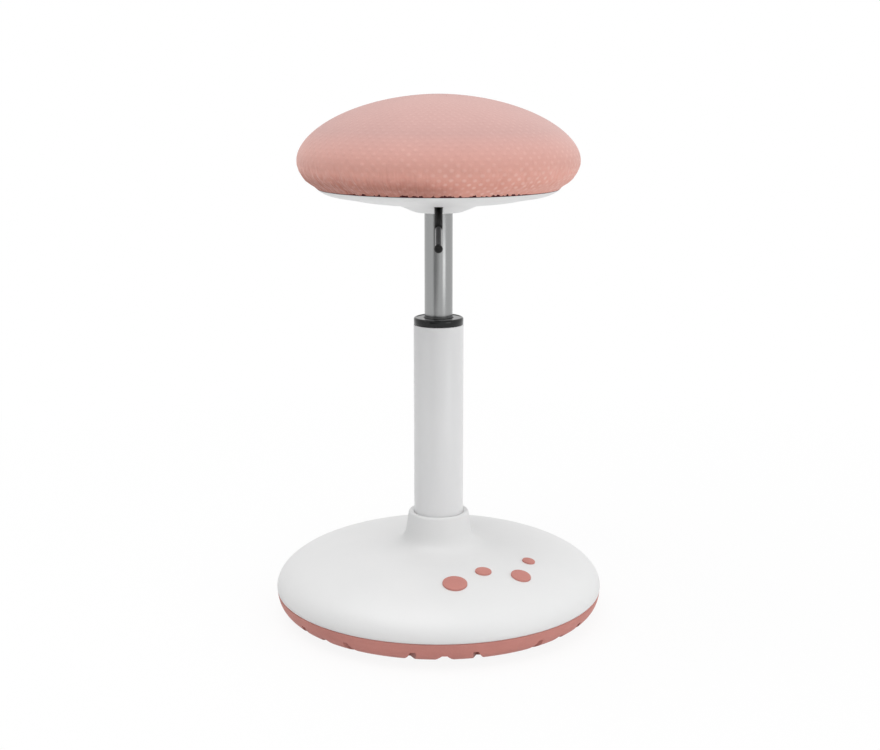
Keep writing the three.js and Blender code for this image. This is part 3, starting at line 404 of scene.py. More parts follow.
def makeSole():
    outline = sole["grooves"] + bezierRun(*sole["rocker"], 10) + bezierRun(*sole["flank"], 12)[1:]
    piece = turned("sole", outline + sole["inside"], sole["steps"])
    cutters = bmesh.new()
    slant, step = sole["notchSlant"], sole["notchStep"]
    for group in range(sole["notchGroups"]):
        middle = 360 * group / sole["notchGroups"] + sole["notchTurn"]
        addNotch(cutters, sole["broadNotch"], 0, middle)
        addNotch(cutters, sole["slantNotch"], slant, middle - step)
        addNotch(cutters, sole["slantNotch"], -slant, middle + step)
    for x, y in soleScrewSpots():
        addRod(cutters, sole["wellRadius"], -sole["wellDepth"], sole["wellDepth"], x, y)
    carve(piece, cutters, 25)
    return piece


settle(makeSole(), "base", "pink_rubber", pinkRubber, "sole")
print("sole made")


# Screws with a six-sided socket, seen from below

screwKinds = {
    "baseScrew": {"head": 5.5, "headHeight": 3.7, "socket": 2.4, "depth": 2.2, "shank": 2.5, "length": 22,
                  "seat": 7.7},
    "shellScrew": {"head": 3.4, "headHeight": 2.1, "socket": 1.5, "depth": 1.3, "shank": 1.6, "length": 10.6,
                   "seat": 423.4},
}
headCurve = [(1, 0.45), (1, 0.8), (0.85, 1), (0.6, 1)]  # shares of the head's radius and height
headDish = 0.2
shellScrewSpots = [(-38, -22), (38, -22), (-38, 22), (38, 22)]


def makeScrew(name, kind, x, y):
    size = screwKinds[kind]
    head, top = size["head"], size["headHeight"]
    work = bmesh.new()
    shoulder = bezierRun(*[(head * out, -top * down) for out, down in headCurve], 6)
    turnProfile(work, [(0, headDish), (head, 0)] + shoulder + [(0, -top)], 48)
    addRod(work, size["shank"], 0, size["length"], segments=24)
    piece = makePiece(name, work, 35)
    socket = bmesh.new()
    addRod(socket, size["socket"], -top - size["depth"], -top + size["depth"], segments=6)
    carve(piece, socket, 35)
    piece.data.transform(Matrix.Translation((x * mm, y * mm, size["seat"] * mm)))
    return piece


for i, (x, y) in enumerate(soleScrewSpots()):
    screw = makeScrew(f"baseScrew{i + 1}", "baseScrew", x, y)
    settle(screw, "base", "zinc_steel", zincSteel, f"base_screw_{i + 1}")
for i, (x, y) in enumerate(shellScrewSpots):
    screw = makeScrew(f"shellScrew{i + 1}", "shellScrew", x, y)
    settle(screw, "seat", "zinc_steel", zincSteel, f"shell_screw_{i + 1}")
print("screws made")


# Raised round dots on the base

dot = {"height": 1.5, "round": 0.7, "crown": 0.35, "sink": 2.5, "steps": 64, "lowest": 40}
dotSpots = [(8, 112, 12), (27, 95.9, 8.04), (43, 117.6, 9.96), (60, 103.6, 6.48)]  # bearing, reach, radius


def surfaceAt(reach):
    # height and slope of the moulding's top at a distance from the axis
    outline = baseOutline()
    for (outerR, outerZ), (innerR, innerZ) in zip(outline[1:], outline[2:]):
        if innerR <= reach <= outerR and outerZ > dot["lowest"]:
            slope = (innerZ - outerZ) / (outerR - innerR)
            return outerZ + slope * (outerR - reach), math.atan(slope)


def makeDot(name, bearing, reach, radius):
    height, tilt = surfaceAt(reach)
    top = dot["height"]
    edge = arcRun((radius - dot["round"], top - dot["round"]), dot["round"], 0, 90, 5)
    outline = [(0, -dot["sink"]), (radius, -dot["sink"])] + edge + [(0, top + dot["crown"])]
    piece = turned(name, outline, dot["steps"])
    turn = Matrix.Rotation(math.radians(bearing - 90), 4, "Z")
    shift = Matrix.Translation((reach * mm, 0, height * mm))
    piece.data.transform(turn @ shift @ Matrix.Rotation(tilt, 4, "Y"))
    return piece


for i, spot in enumerate(dotSpots):
    settle(makeDot(f"markDot{i + 1}", *spot), "base", "pink_rubber", pinkRubber, f"mark_dot_{i + 1}")
print("dots made")


# Column tube, guide bush with its collar, and lift cylinder

column = {"radius": 25, "wall": 1.8, "bottom": 31, "taperTop": 99, "footRadius": 23.8, "top": 299.3,
          "edgeRound": 0.5, "steps": 128}
bush = {"bore": 14.2, "sleeve": 22.9, "bottom": 205.3, "seat": 299.6, "top": 306.6, "collar": 24.9,
        "round": 1.8, "footBevel": (0.4, 0.5), "lipInner": 22.5, "lipSlope": 0.4, "lipDepth": 0.5,
        "boreBevel": (1, 1.2), "steps": 128}
cylinder = {"radius": 14, "wall": 2.6, "bottom": 222.6, "taperFrom": 411.3, "topRadius": 13.4, "top": 429.8,
            "bore": 2.6, "boreDepth": 20, "gasTop": 353, "edgeRound": 0.4, "steps": 128}


def makeColumnTube():
    radius, foot, wall = column["radius"], column["footRadius"], column["wall"]
    bottom, taper, top = column["bottom"], column["taperTop"], column["top"]
    outline = [(foot, bottom), (radius, taper), (radius, top)]
    outline += [(radius - wall, top), (radius - wall, taper), (foot - wall, bottom)]
    return turned("columnTube", outline, column["steps"], column["edgeRound"])


def makeGuideBush():
    top, seat, curve, collar = bush["top"], bush["seat"], bush["round"], bush["collar"]
    low = top - bush["lipDepth"]
    outline = [(bush["bore"], bush["bottom"]), (bush["sleeve"], bush["bottom"]), (bush["sleeve"], seat)]
    outline += [(collar - bush["footBevel"][0], seat), (collar, seat + bush["footBevel"][1])]
    outline += arcRun((collar - curve, top - curve), curve, 0, 90, 8)
    outline += [(bush["lipInner"], top), (bush["lipInner"] - bush["lipSlope"], low)]
    outline += [(bush["bore"] + bush["boreBevel"][0], low), (bush["bore"], low - bush["boreBevel"][1])]
    return turned("guideBush", outline, bush["steps"])


def makeLiftCylinder():
    radius, bore, top, gasTop = cylinder["radius"], cylinder["bore"], cylinder["top"], cylinder["gasTop"]
    inner, low = radius - cylinder["wall"], top - cylinder["boreDepth"]
    outline = [(inner, cylinder["bottom"]), (radius, cylinder["bottom"]), (radius, cylinder["taperFrom"])]
    outline += [(cylinder["topRadius"], top), (bore, top), (bore, low), (0, low)]
    outline += [(0, gasTop), (inner, gasTop)]
    return turned("liftCylinder", outline, cylinder["steps"], cylinder["edgeRound"])


settle(makeColumnTube(), "base", "white_enamel", whiteEnamel, "column_tube")
settle(makeGuideBush(), "base", "black_plastic", blackPlastic, "guide_bush")
settle(makeLiftCylinder(), "seat", "bright_steel", brightSteel, "lift_cylinder")
print("column made")


# Seat shell: hub, shallow dish, turned-up rim, screw posts, and the slot for the lever

shell = {
    "bore": 14.3, "hubBottom": 411.3,
    "hub": [(22, 411.3), (30, 412.6), (39.9, 421.3), (60, 421.3)],
    "dish": [(60, 421.3), (82.5, 422.5), (82.5, 424.6), (105, 427.9)],
    "rim": [(105, 427.9), (110.3, 429.1), (115.5, 431.2), (118.5, 434.3)],
    "lining": [(114.5, 434.3), (113.9, 433.3), (104.5, 430.9), (82, 426.8), (59.7, 424.3), (35.4, 419.6),
               (18, 412.5), (14.3, 412.5)],
    "steps": 192,
    "slotHalf": 4.35, "slotNear": 31.2, "slotFar": 59.6, "slotLow": 405, "slotHigh": 435, "slotRound": 0.98,
    "postRadius": 5, "postFoot": 422, "postTop": 431, "wellRadius": 3.6, "wellTop": 423.7,
}


def addSlot(cutter):
    # a tall bar with rounded ends, in front of the hub
    half, near, far = shell["slotHalf"], shell["slotNear"], shell["slotFar"]
    low, high = shell["slotLow"], shell["slotHigh"]
    slot = bmesh.ops.create_cube(cutter, size=1)["verts"]
    bmesh.ops.scale(cutter, verts=slot, vec=(2 * half * mm, (far - near + 2 * half) * mm, (high - low) * mm))
    bmesh.ops.translate(cutter, verts=slot, vec=(0, -(near + far) / 2 * mm, (low + high) / 2 * mm))
    corners = [e for e in cutter.edges if abs(e.verts[0].co.z - e.verts[1].co.z) > 10 * mm]
    bmesh.ops.bevel(cutter, geom=corners, offset=half * shell["slotRound"] * mm, offset_type="OFFSET",
                    segments=10, profile=0.5, affect="EDGES", clamp_overlap=True, material=-1)


def makeSeatShell():
    outer = [(shell["bore"], shell["hubBottom"])] + bezierRun(*shell["hub"], 14)
    outer += bezierRun(*shell["dish"], 12)[1:] + bezierRun(*shell["rim"], 10)[1:]
    piece = turned("seatShell", outer + shell["lining"], shell["steps"], smoothAngle=35)
    posts = bmesh.new()
    for x, y in shellScrewSpots:
        addRod(posts, shell["postRadius"], shell["postFoot"], shell["postTop"], x, y)
    carve(piece, posts, 35, "UNION")
    cutter = bmesh.new()
    addSlot(cutter)
    for x, y in shellScrewSpots:
        addRod(cutter, shell["wellRadius"], shell["hubBottom"], shell["wellTop"], x, y)
    carve(piece, cutter, 35)
    return piece


settle(makeSeatShell(), "seat", "white_plastic", whitePlastic, "seat_shell")
print("seat shell made")


# Cushion: a domed cover over foam, drawn in and gathered where it meets the shell. The cloth
# below the widest ring is a little too long, and a simulation lets it buckle into soft folds.

cushion = {
    "widest": 138.3, "widestHeight": 463.2, "crownRise": 62.2, "planPower": 1.91, "crownPower": 1.79,
    "tuckRun": 38, "tuckDrop": 30.4, "tuckRadius": 121.0, "hemRadius": 119.1, "hemHeight": 434.3,
    "boardRadius": 117.3, "boardTop": 449.9, "boardSlack": 0.2, "liningGap": 0.5,
    "rowsTuck": 18, "rowsCrown": 34, "steps": 330, "seed": 7.3,
    "cloth": {
        "looseFrom": 437, "looseFull": 444, "heldFrom": 454, "heldFull": 471,
        "frames": 20, "quality": 6, "mass": 0.2, "stretch": 12, "shear": 4, "bend": 0.25,
        "pressure": 3.0, "spare": 0.055, "cap": 1.8, "gain": 0.85,
    },
    "pucker": {
        "top": 464, "full": 448, "depth": 0.65, "hemRun": 3, "looseSide": 0.45,
        "groupScale": 2.4, "groupRange": (-0.1, 0.42), "groupLeast": 0.2,
        "fineScale": 27, "fineLean": 0.02, "fineShare": 1.4,
        "broadScale": 10, "broadLean": 0.03, "broadShare": 1.6,
    },
    "hemLift": {
        "height": 1.9, "run": 4, "gapScale": 34, "gapRange": (-0.12, 0.15), "frontRange": (0.68, 0.82),
        "unevenScale": 70, "least": 0.7, "uneven": 0.8,
    },
}


def cushionOutline():
    # hem, round tuck, widest ring and crown
    widest, level, rows = cushion["widest"], cushion["widestHeight"], cushion["rowsCrown"]
    centre = widest - cushion["tuckRun"]
    start = math.acos((cushion["tuckRadius"] - centre) / cushion["tuckRun"])
    run = [(cushion["hemRadius"], cushion["hemHeight"])]
    for i in range(cushion["rowsTuck"]):
        angle = start * (1 - i / cushion["rowsTuck"])
        radius = centre + cushion["tuckRun"] * math.cos(angle)
        run.append((radius, level - cushion["tuckDrop"] * math.sin(angle)))
    for i in range(rows + 1):
        angle = math.pi / 2 * i / rows
        radius = widest * abs(math.cos(angle)) ** (2 / cushion["planPower"]) if i < rows else 0
        run.append((radius, level + cushion["crownRise"] * math.sin(angle) ** (2 / cushion["crownPower"])))
    return run


def rampUp(value, low, high):
    share = max(0.0, min(1.0, (value - low) / (high - low)))
    return share * share * (3 - 2 * share)


def clothReach(outline):
    # length of cloth from the crown's middle out to each ring, by the ring's height
    rings = list(reversed(outline))
    total = 0.0
    reach = [(rings[0][1], total)]
    for (r0, z0), (r1, z1) in zip(rings, rings[1:]):
        total += math.hypot(r1 - r0, z1 - z0)
        reach.append((z1, total))
    return reach


def isCloth(spot):
    # the cover itself, not the lining round the board
    outside = math.hypot(spot.x, spot.y) / mm > cushion["boardRadius"] + cushion["boardSlack"]
    return outside or spot.z / mm > cushion["boardTop"] + cushion["boardSlack"]


def heldShare(spot):
    # 1 where the cloth can't move: the lining, the hem and the crown
    if not isCloth(spot):
        return 1.0
    cloth, height = cushion["cloth"], spot.z / mm
    below = 1 - rampUp(height, cloth["looseFrom"], cloth["looseFull"])
    return max(below, rampUp(height, cloth["heldFrom"], cloth["heldFull"]))


def simulate(piece):
    # every point's place after the cloth has run
    cloth = cushion["cloth"]
    modifier = piece.modifiers.new("cloth", "CLOTH")
    settings = modifier.settings
    settings.quality = cloth["quality"]
    settings.mass = cloth["mass"]
    settings.tension_stiffness = cloth["stretch"]
    settings.compression_stiffness = cloth["stretch"]
    settings.shear_stiffness = cloth["shear"]
    settings.bending_stiffness = cloth["bend"]
    settings.vertex_group_mass = "held"
    settings.shrink_min = -cloth["spare"]
    settings.use_pressure = True
    settings.uniform_pressure_force = cloth["pressure"]
    settings.effector_weights.gravity = 0
    modifier.collision_settings.use_collision = False
    modifier.point_cache.frame_start = 1
    modifier.point_cache.frame_end = cloth["frames"]
    for i in range(cloth["frames"]):
        scene.frame_set(i + 1)
    graph = bpy.context.evaluated_depsgraph_get()
    after = [vert.co.copy() for vert in piece.evaluated_get(graph).data.vertices]
    piece.modifiers.clear()
    scene.frame_set(1)
    return after


def letFold(piece):
    held = piece.vertex_groups.new(name="held")
    before = [vert.co.copy() for vert in piece.data.vertices]
    for i, spot in enumerate(before):
        held.add([i], heldShare(spot), "REPLACE")
    moves = [new - old for new, old in zip(simulate(piece), before)]
    # each ring keeps its mean radius and height, so that the folds don't fatten the outline
    rings = {}
    for old, move in zip(before, moves):
        outward = Vector((old.x, old.y, 0)).normalized()
        rings.setdefault(round(old.z / mm, 2), []).append((move.dot(outward), move.z))
    means = {height: [sum(part) / len(part) for part in zip(*ring)] for height, ring in rings.items()}
    limit, gain = cushion["cloth"]["cap"] * mm, cushion["cloth"]["gain"]
    for vert, old, move in zip(piece.data.vertices, before, moves):
        outward = Vector((old.x, old.y, 0)).normalized()
        swell, rise = means[round(old.z / mm, 2)]
        move = (move - outward * swell - Vector((0, 0, rise))) * (1 - heldShare(old)) * gain
        vert.co = old + (move if move.length < limit else move * (limit / move.length))
    piece.vertex_groups.clear()


def subdivided(piece):
    smooth = piece.modifiers.new("smooth", "SUBSURF")
    smooth.levels = smooth.render_levels = 1
    graph = bpy.context.evaluated_depsgraph_get()
    piece.data = bpy.data.meshes.new_from_object(piece.evaluated_get(graph))
    piece.modifiers.clear()


def puckerAt(angle, height):
    # upright puckers below the widest ring, in uneven groups, more of them on the left
    around = Vector((math.cos(angle), math.sin(angle), 0))
    pucker, seed, hemHeight = cushion["pucker"], cushion["seed"], cushion["hemHeight"]
    least = pucker["groupLeast"]
    loose = noise.noise(around * pucker["groupScale"] + Vector((seed, 0, 0)))
    loose -= pucker["looseSide"] * around.x
    groups = least + (1 - least) * rampUp(loose, *pucker["groupRange"])
    reach = 1 - rampUp(height, pucker["full"], pucker["top"])
    hem = rampUp(height, hemHeight, hemHeight + pucker["hemRun"])
    fine = noise.noise(around * pucker["fineScale"] + Vector((0, seed, height * pucker["fineLean"])))
    broad = noise.noise(around * pucker["broadScale"] + Vector((seed, 2, height * pucker["broadLean"])))
    mixed = pucker["fineShare"] * fine + pucker["broadShare"] * broad
    return reach * hem * groups * pucker["depth"] * mixed


def hemLiftAt(angle):
    # short gaps where the gathered hem stands off the shell's rim
    around = Vector((math.cos(angle), math.sin(angle), 0))
    lift = cushion["hemLift"]
    gap = noise.noise(around * lift["gapScale"] + Vector((3, cushion["seed"], 0)))
    uneven = lift["least"] + lift["uneven"] * noise.noise(around * lift["unevenScale"])
    share = rampUp(abs(around.y), *lift["frontRange"])
    return share * rampUp(gap, *lift["gapRange"]) * uneven * lift["height"]


def addPuckers(piece):
    work = bmesh.new()
    work.from_mesh(piece.data)
    work.normal_update()
    hem = cushion["hemHeight"]
    run = cushion["hemLift"]["run"]
    for vert in work.verts:
        height = vert.co.z / mm
        if isCloth(vert.co) and height < cushion["pucker"]["top"]:
            angle = math.atan2(vert.co.y, vert.co.x)
            vert.co += vert.normal * puckerAt(angle, height) * mm
            vert.co.z += (1 - rampUp(height, hem, hem + run)) * hemLiftAt(angle) * mm
    work.to_mesh(piece.data)
    work.free()


def mapCloth(work, outline):
    # clothMap lies flat from the crown's middle, wrapMap runs once round the seat
    lengths = {round(height, 2): length for height, length in clothReach(outline)}
    flat = work.loops.layers.uv.new("clothMap")
    wrap = work.loops.layers.uv.new("wrapMap")
    for face in work.faces:
        middle = face.calc_center_median()
        facing = math.atan2(middle.y, middle.x)
        for loop in face.loops:
            spot = loop.vert.co
            reach = lengths.get(round(spot.z / mm, 2), 0.0) * mm
            angle = math.atan2(spot.y, spot.x)
            loop[flat].uv = (reach * math.cos(angle), reach * math.sin(angle))
            turns = round((facing - angle) / fullTurn)
            loop[wrap].uv = (angle / fullTurn + turns, reach)


def makeCushion():
    outline = cushionOutline()
    board, boardTop = cushion["boardRadius"], cushion["boardTop"]
    lining = [(0, boardTop), (board, boardTop), (board, cushion["hemHeight"] + cushion["liningGap"])]
    work = bmesh.new()
    turnProfile(work, outline + lining, cushion["steps"])
    mapCloth(work, outline)
    piece = makePiece("seatCushion", work, 70)
    letFold(piece)
    subdivided(piece)
    addPuckers(piece)
    return piece


fabricLook = {
    # crown and skirt carry painted light: the skirt is painted bright for light from the front and below,
    # the crown paler and greyer for light from above
    "crown": (0.56, 0.333, 0.306), "skirt": (0.92, 0.445, 0.365), "skirtHeight": 446, "crownHeight": 492,
    # foldShade, hemShade and foldedHemShade are painted shade: in the fold streaks, and along the hem under
    # the bulge, deeper in the folded patch
    "shadeShare": 0.86, "foldShade": (0.92, 0.85, 0.84), "hemShade": (0.85, 0.79, 0.77),
    "foldedHemShade": (0.55, 0.46, 0.43), "hemTop": 454, "hemFull": 443,
    "cloudScale": 16.0, "fibreScale": 900.0, "roughness": (0.75, 0.95), "specular": 0.2,
    "sheen": 0.35, "sheenTint": (1.0, 0.9, 0.88), "sheenRoughness": 0.5,
    "knit": {"pitch": 1.3, "depth": 0.1, "wale": ("X", 0.5, 0.6), "row": ("Y", 0.42, 0.4)},
    "dots": {
        "tone": (0.88, 0.58, 0.51), "round": 78, "along": 9.4, "uneven": 0.12, "inner": 0.12, "outer": 0.34,
        # the dots' share falls with height towards the crown, a painted light
        "shareLow": 0.6, "shareHigh": 0.06, "fade": (448, 482), "depth": 0.22, "plainLeast": 0.2,
        "wornScale": 45.0, "worn": (0.2, 1.25),
    },
    # fold streaks: a bump, and a painted shade in their creases through foldShade
    "streaks": {
        "scale": 62.0, "tall": 13.0, "depth": 1.3, "top": 464, "fade": 16, "range": (0.35, 0.55),
        "share": 0.9, "side": 2.2, "sideScale": 14.0, "sideRange": (0.44, 0.68),
    },
}


def upright(tree, tall):
    # a direction round the axis, with the height squeezed, so that noise on it runs in upright streaks
    coords = objectCoords(tree)
    around = reckonVector(tree, "NORMALIZE", reckonVector(tree, "MULTIPLY", coords, (1, 1, 0)))
    rise = reckonVector(tree, "MULTIPLY", coords, (0, 0, tall))
    return reckonVector(tree, "ADD", around, rise)


def knitPattern(tree, knit):
    # wales across rows, on the map that lies flat
    flat = addNode(tree, "ShaderNodeUVMap", uv_map="clothMap").outputs["UV"]
    size = (1 / (knit["pitch"] * mm),) * 3
    ribs = addNode(tree, "ShaderNodeMapping", {"Vector": flat, "Scale": size}).outputs["Vector"]
    bands = []
    for way, scale, waver in (knit["wale"], knit["row"]):  # the bands' axis, scale and waver
        inputs = {"Vector": ribs, "Scale": scale, "Distortion": waver, "Detail": 1.0}
        wave = addNode(tree, "ShaderNodeTexWave", inputs, wave_type="BANDS", bands_direction=way)
        bands.append(wave.outputs["Fac"])
    return reckon(tree, "MULTIPLY", *bands)


def dotPattern(tree, dots):
    # staggered rows of soft dots that run round the seat
    wrapped = addNode(tree, "ShaderNodeUVMap", uv_map="wrapMap").outputs["UV"]
    root = math.sqrt(2)
    size = (root * dots["round"], root / (dots["along"] * mm), 1)
    inputs = {"Vector": wrapped, "Rotation": (0, 0, math.radians(45)), "Scale": size}
    grid = addNode(tree, "ShaderNodeMapping", inputs).outputs["Vector"]
    inputs = {"Vector": grid, "Scale": 1.0, "Randomness": dots["uneven"]}
    cells = addNode(tree, "ShaderNodeTexVoronoi", inputs, voronoi_dimensions="2D", feature="F1")
    return spread(tree, cells.outputs["Distance"], 1.0, 0.0, dots["inner"], dots["outer"])


def streakPattern(tree, streaks):
    tall = 1000 / streaks["tall"] / streaks["scale"]
    inputs = {"Vector": upright(tree, tall), "Scale": streaks["scale"], "Detail": 1.5, "Roughness": 0.5}
    return addNode(tree, "ShaderNodeTexNoise", inputs).outputs["Fac"]


def loosePatch(tree, streaks):
    # 1 where the cloth hangs loose, in patches towards the left
    leaning = reckon(tree, "MULTIPLY", alongAxis(tree, "X"), -streaks["side"])
    loose = reckon(tree, "ADD", leaning, objectNoise(tree, streaks["sideScale"], detail=1.0))
    return spread(tree, loose, 0.0, 1.0, *streaks["sideRange"])


def dotStrength(tree, dots, height, patch):
    # painted light: dots stand out low on the sides and fade towards the crown, as if washed out by the
    # light from above; they fade in the folded patch too, and wear off in random patches
    fade = [limit * mm for limit in dots["fade"]]
    share = spread(tree, height, dots["shareLow"], dots["shareHigh"], *fade)
    share = reckon(tree, "MULTIPLY", share, spread(tree, patch, 1.0, dots["plainLeast"], 0.0, 1.0))
    worn = spread(tree, objectNoise(tree, dots["wornScale"], detail=1.0), *dots["worn"])
    return reckon(tree, "MULTIPLY", share, worn)


def makeFabric(look):
    material, tree, shader = newMaterial("pinkFabric", look["crown"])
    streaks = look["streaks"]
    height = alongAxis(tree, "Z")
    knit, dots = knitPattern(tree, look["knit"]), dotPattern(tree, look["dots"])
    streak, patch = streakPattern(tree, streaks), loosePatch(tree, streaks)
    fibre = objectNoise(tree, look["fibreScale"], detail=2.0)
    cloud = objectNoise(tree, look["cloudScale"])
    low = spread(tree, height, 1.0, 0.0, (streaks["top"] - streaks["fade"]) * mm, streaks["top"] * mm)
    lowPatch = reckon(tree, "MULTIPLY", low, patch)

    # ground colour, with light and shade painted in: a painted shade darkening towards the hem, deeper in
    # the folded patch; the skirt painted brighter, as if lit from the front and below; the crown paler and
    # greyer, as if lit from above
    # painted shade along the hem, where the bulge overhangs it; deeper in the folded patch
    hemShade = blendColour(tree, patch, look["hemShade"], look["foldedHemShade"])
    hem = blendColour(tree, 1.0, look["skirt"], hemShade, "MULTIPLY")
    nearHem = spread(tree, height, 1.0, 0.0, look["hemFull"] * mm, look["hemTop"] * mm)
    skirt = blendColour(tree, nearHem, look["skirt"], hem)
    rising = spread(tree, height, 0.0, 1.0, look["skirtHeight"] * mm, look["crownHeight"] * mm)
    ground = blendColour(tree, rising, skirt, look["crown"])

    # knit, fibres and clouds take up some of a darker tone; the fold streaks in the loose patch take a
    # deeper one, painted shade in the creases
    shade = blendColour(tree, 1.0, ground, (look["shadeShare"],) * 3, "MULTIPLY")
    knitted = spread(tree, knit, 0.5, 0.0, 0.0, 0.5)
    for share in (knitted, spread(tree, fibre, 0.0, 0.4), spread(tree, cloud, 0.0, 0.5)):
        ground = blendColour(tree, share, ground, shade)
    streaked = spread(tree, streak, streaks["share"], 0.0, *streaks["range"])
    deep = blendColour(tree, 1.0, ground, look["foldShade"], "MULTIPLY")
    ground = blendColour(tree, reckon(tree, "MULTIPLY", lowPatch, streaked), ground, deep)

    dotted = reckon(tree, "MULTIPLY", dots, dotStrength(tree, look["dots"], height, patch))
    tree.links.new(blendColour(tree, dotted, ground, look["dots"]["tone"]), shader.inputs["Base Color"])
    tree.links.new(spread(tree, fibre, *look["roughness"]), shader.inputs["Roughness"])
    fine = addBump(tree, knit, 0.6, look["knit"]["depth"])
    raised = addBump(tree, dots, 0.8, look["dots"]["depth"], fine)
    folded = addBump(tree, reckon(tree, "MULTIPLY", streak, lowPatch), 1.0, streaks["depth"], raised)
    tree.links.new(folded, shader.inputs["Normal"])
    shader.inputs["Sheen Weight"].default_value = look["sheen"]
    shader.inputs["Sheen Roughness"].default_value = look["sheenRoughness"]
    shader.inputs["Sheen Tint"].default_value = (*look["sheenTint"], 1)
    shader.inputs["Specular IOR Level"].default_value = look["specular"]
    return material


pinkFabric = makeFabric(fabricLook)
seatCushion = settle(makeCushion(), "seat", "pink_fabric", pinkFabric, "seat_cover", "seat_foam")
print("cushion made")

# The elastic band in the cover's hem, coloured near black as painted shade, so that it shows as dark dashes
# of shadow through the gathers
hemTapeShadowLook = {
    "tone": (0.10, 0.025, 0.028), "secondTone": (0.07, 0.018, 0.02), "cloudScale": 120.0,
    "roughness": (0.8, 0.95), "grainScale": 900.0, "grainDepth": 0.15, "specular": 0.1,
}
tapeShadow = {"inner": 117.6, "outer": 118.5, "low": 434.45, "high": 438, "steps": 256}


def makeHemTapeShadow():
    inner, outer, low, high = tapeShadow["inner"], tapeShadow["outer"], tapeShadow["low"], tapeShadow["high"]
    return turned("hemTapeShadow", [(inner, low), (outer, low), (outer, high), (inner, high)], tapeShadow["steps"])


# the band's near-black finish is painted shade in the gap under the hem
settle(makeHemTapeShadow(), "seat", "pink_fabric", finishOf("hemTapeShadow", hemTapeShadowLook))


# Release lever: steel rod, black sleeve and ball end, on a pin between the mount plate's ears

lever = {
    "pivot": (0, -22, 431.6), "slope": math.degrees(math.atan(0.5)),
    "rod": 2.9, "innerEnd": 3.5, "innerTaper": 1.5, "ball": 4, "ballReach": 110, "ballOverlap": 0.6,
    "sleeve": 3.85, "sleeveStart": 34, "sleeveEnd": 79.4, "sleeveBevel": 0.4, "sleeveGap": 0.1,
    "sleeveTip": [(0, 3.2), (0, 1.2), (0.25, 0), (0.9, 0)],
    "eye": 5, "eyeHalf": 4.5, "eyeRound": 0.4, "pinBore": 2.2,
}


def alongLever(reach):
    # distance from the pivot along the lever for a distance out from the column's axis
    return (reach + lever["pivot"][1]) / math.cos(math.radians(lever["slope"]))


def placeOnLever(piece):
    # the piece is drawn along +Z, which becomes the lever's own line, out and down
    turn = Matrix.Rotation(math.radians(90 + lever["slope"]), 4, "X")
    piece.data.transform(Matrix.Translation(Vector(lever["pivot"]) * mm) @ turn)
    return piece


def makeLeverRod():
    start = alongLever(lever["innerEnd"])
    end = alongLever(lever["ballReach"]) - lever["ball"] + lever["ballOverlap"]
    rod = lever["rod"]
    outline = [(0, start), (rod / 2, start), (rod, start + lever["innerTaper"]), (rod, end), (0, end)]
    return placeOnLever(turned("leverRod", outline, 48))


def makeLeverEye():
    inner, outer, half = lever["pinBore"], lever["eye"], lever["eyeHalf"]
    work = bmesh.new()
    turnProfile(work, [(inner, -half), (outer, -half), (outer, half), (inner, half)], 48)
    roundEdges(work, lever["eyeRound"])
    bmesh.ops.rotate(work, verts=work.verts, cent=(0, 0, 0), matrix=Matrix.Rotation(math.pi / 2, 3, "Y"))
    bmesh.ops.translate(work, verts=work.verts, vec=Vector(lever["pivot"]) * mm)
    return makePiece("leverEye", work)


def makeLeverSleeve():
    start, end = alongLever(lever["sleeveStart"]), alongLever(lever["sleeveEnd"])
    inner, outer, bevel = lever["rod"] + lever["sleeveGap"], lever["sleeve"], lever["sleeveBevel"]
    tip = bezierRun(*[(outer - across, end - back) for across, back in lever["sleeveTip"]], 8)
    outline = [(inner, start), (outer - bevel, start), (outer, start + bevel)] + tip + [(inner, end)]
    return placeOnLever(turned("leverSleeve", outline, 64))


def makeLeverBall():
    work = bmesh.new()
    bmesh.ops.create_uvsphere(work, u_segments=48, v_segments=32, radius=lever["ball"] * mm)
    bmesh.ops.translate(work, verts=work.verts, vec=(0, 0, alongLever(lever["ballReach"]) * mm))
    return placeOnLever(makePiece("leverBall", work))


# the rod and the eye are bright steel, given the darkened copy as a painted reflection
settle(makeLeverRod(), "lever", "bright_steel", shadedLeverSteel, "lever_rod")
settle(makeLeverEye(), "lever", "bright_steel", shadedLeverSteel)
settle(makeLeverSleeve(), "lever", "black_plastic", blackGrip, "lever_sleeve")
settle(makeLeverBall(), "lever", "black_plastic", blackGrip, "lever_ball")
print("lever made")


# The frame's own pieces keep their shapes and get their finishes

nodeFinishes = {
    "ballast_plate": castIron, "column_socket": zincSteel, "socket_bolt": zincSteel,
    "column_end_plate": zincSteel, "thrust_washer": zincSteel, "piston_rod": polishedSteel,
    "piston": blackPlastic, "bump_stop": blackRubber, "retaining_clip": zincSteel,
    "bearing_cage": blackPlastic, "bearing_ball": polishedSteel, "rod_guide": blackPlastic,
    "mount_plate": zincSteel, "mount_screw": zincSteel, "seat_board": plywood,
    "lever_pin": polishedSteel, "valve_pin": polishedSteel,
}


def finishFor(name):
    fitting = [key for key in nodeFinishes if name.startswith(key)]
    return nodeFinishes[max(fitting, key=len)] if fitting else None


for name, node in nodes.items():
    if not node.hide_render:
        node.data.materials.clear()
        node.data.materials.append(finishFor(name))
print("frame pieces finished")


# Floor, lights and camera

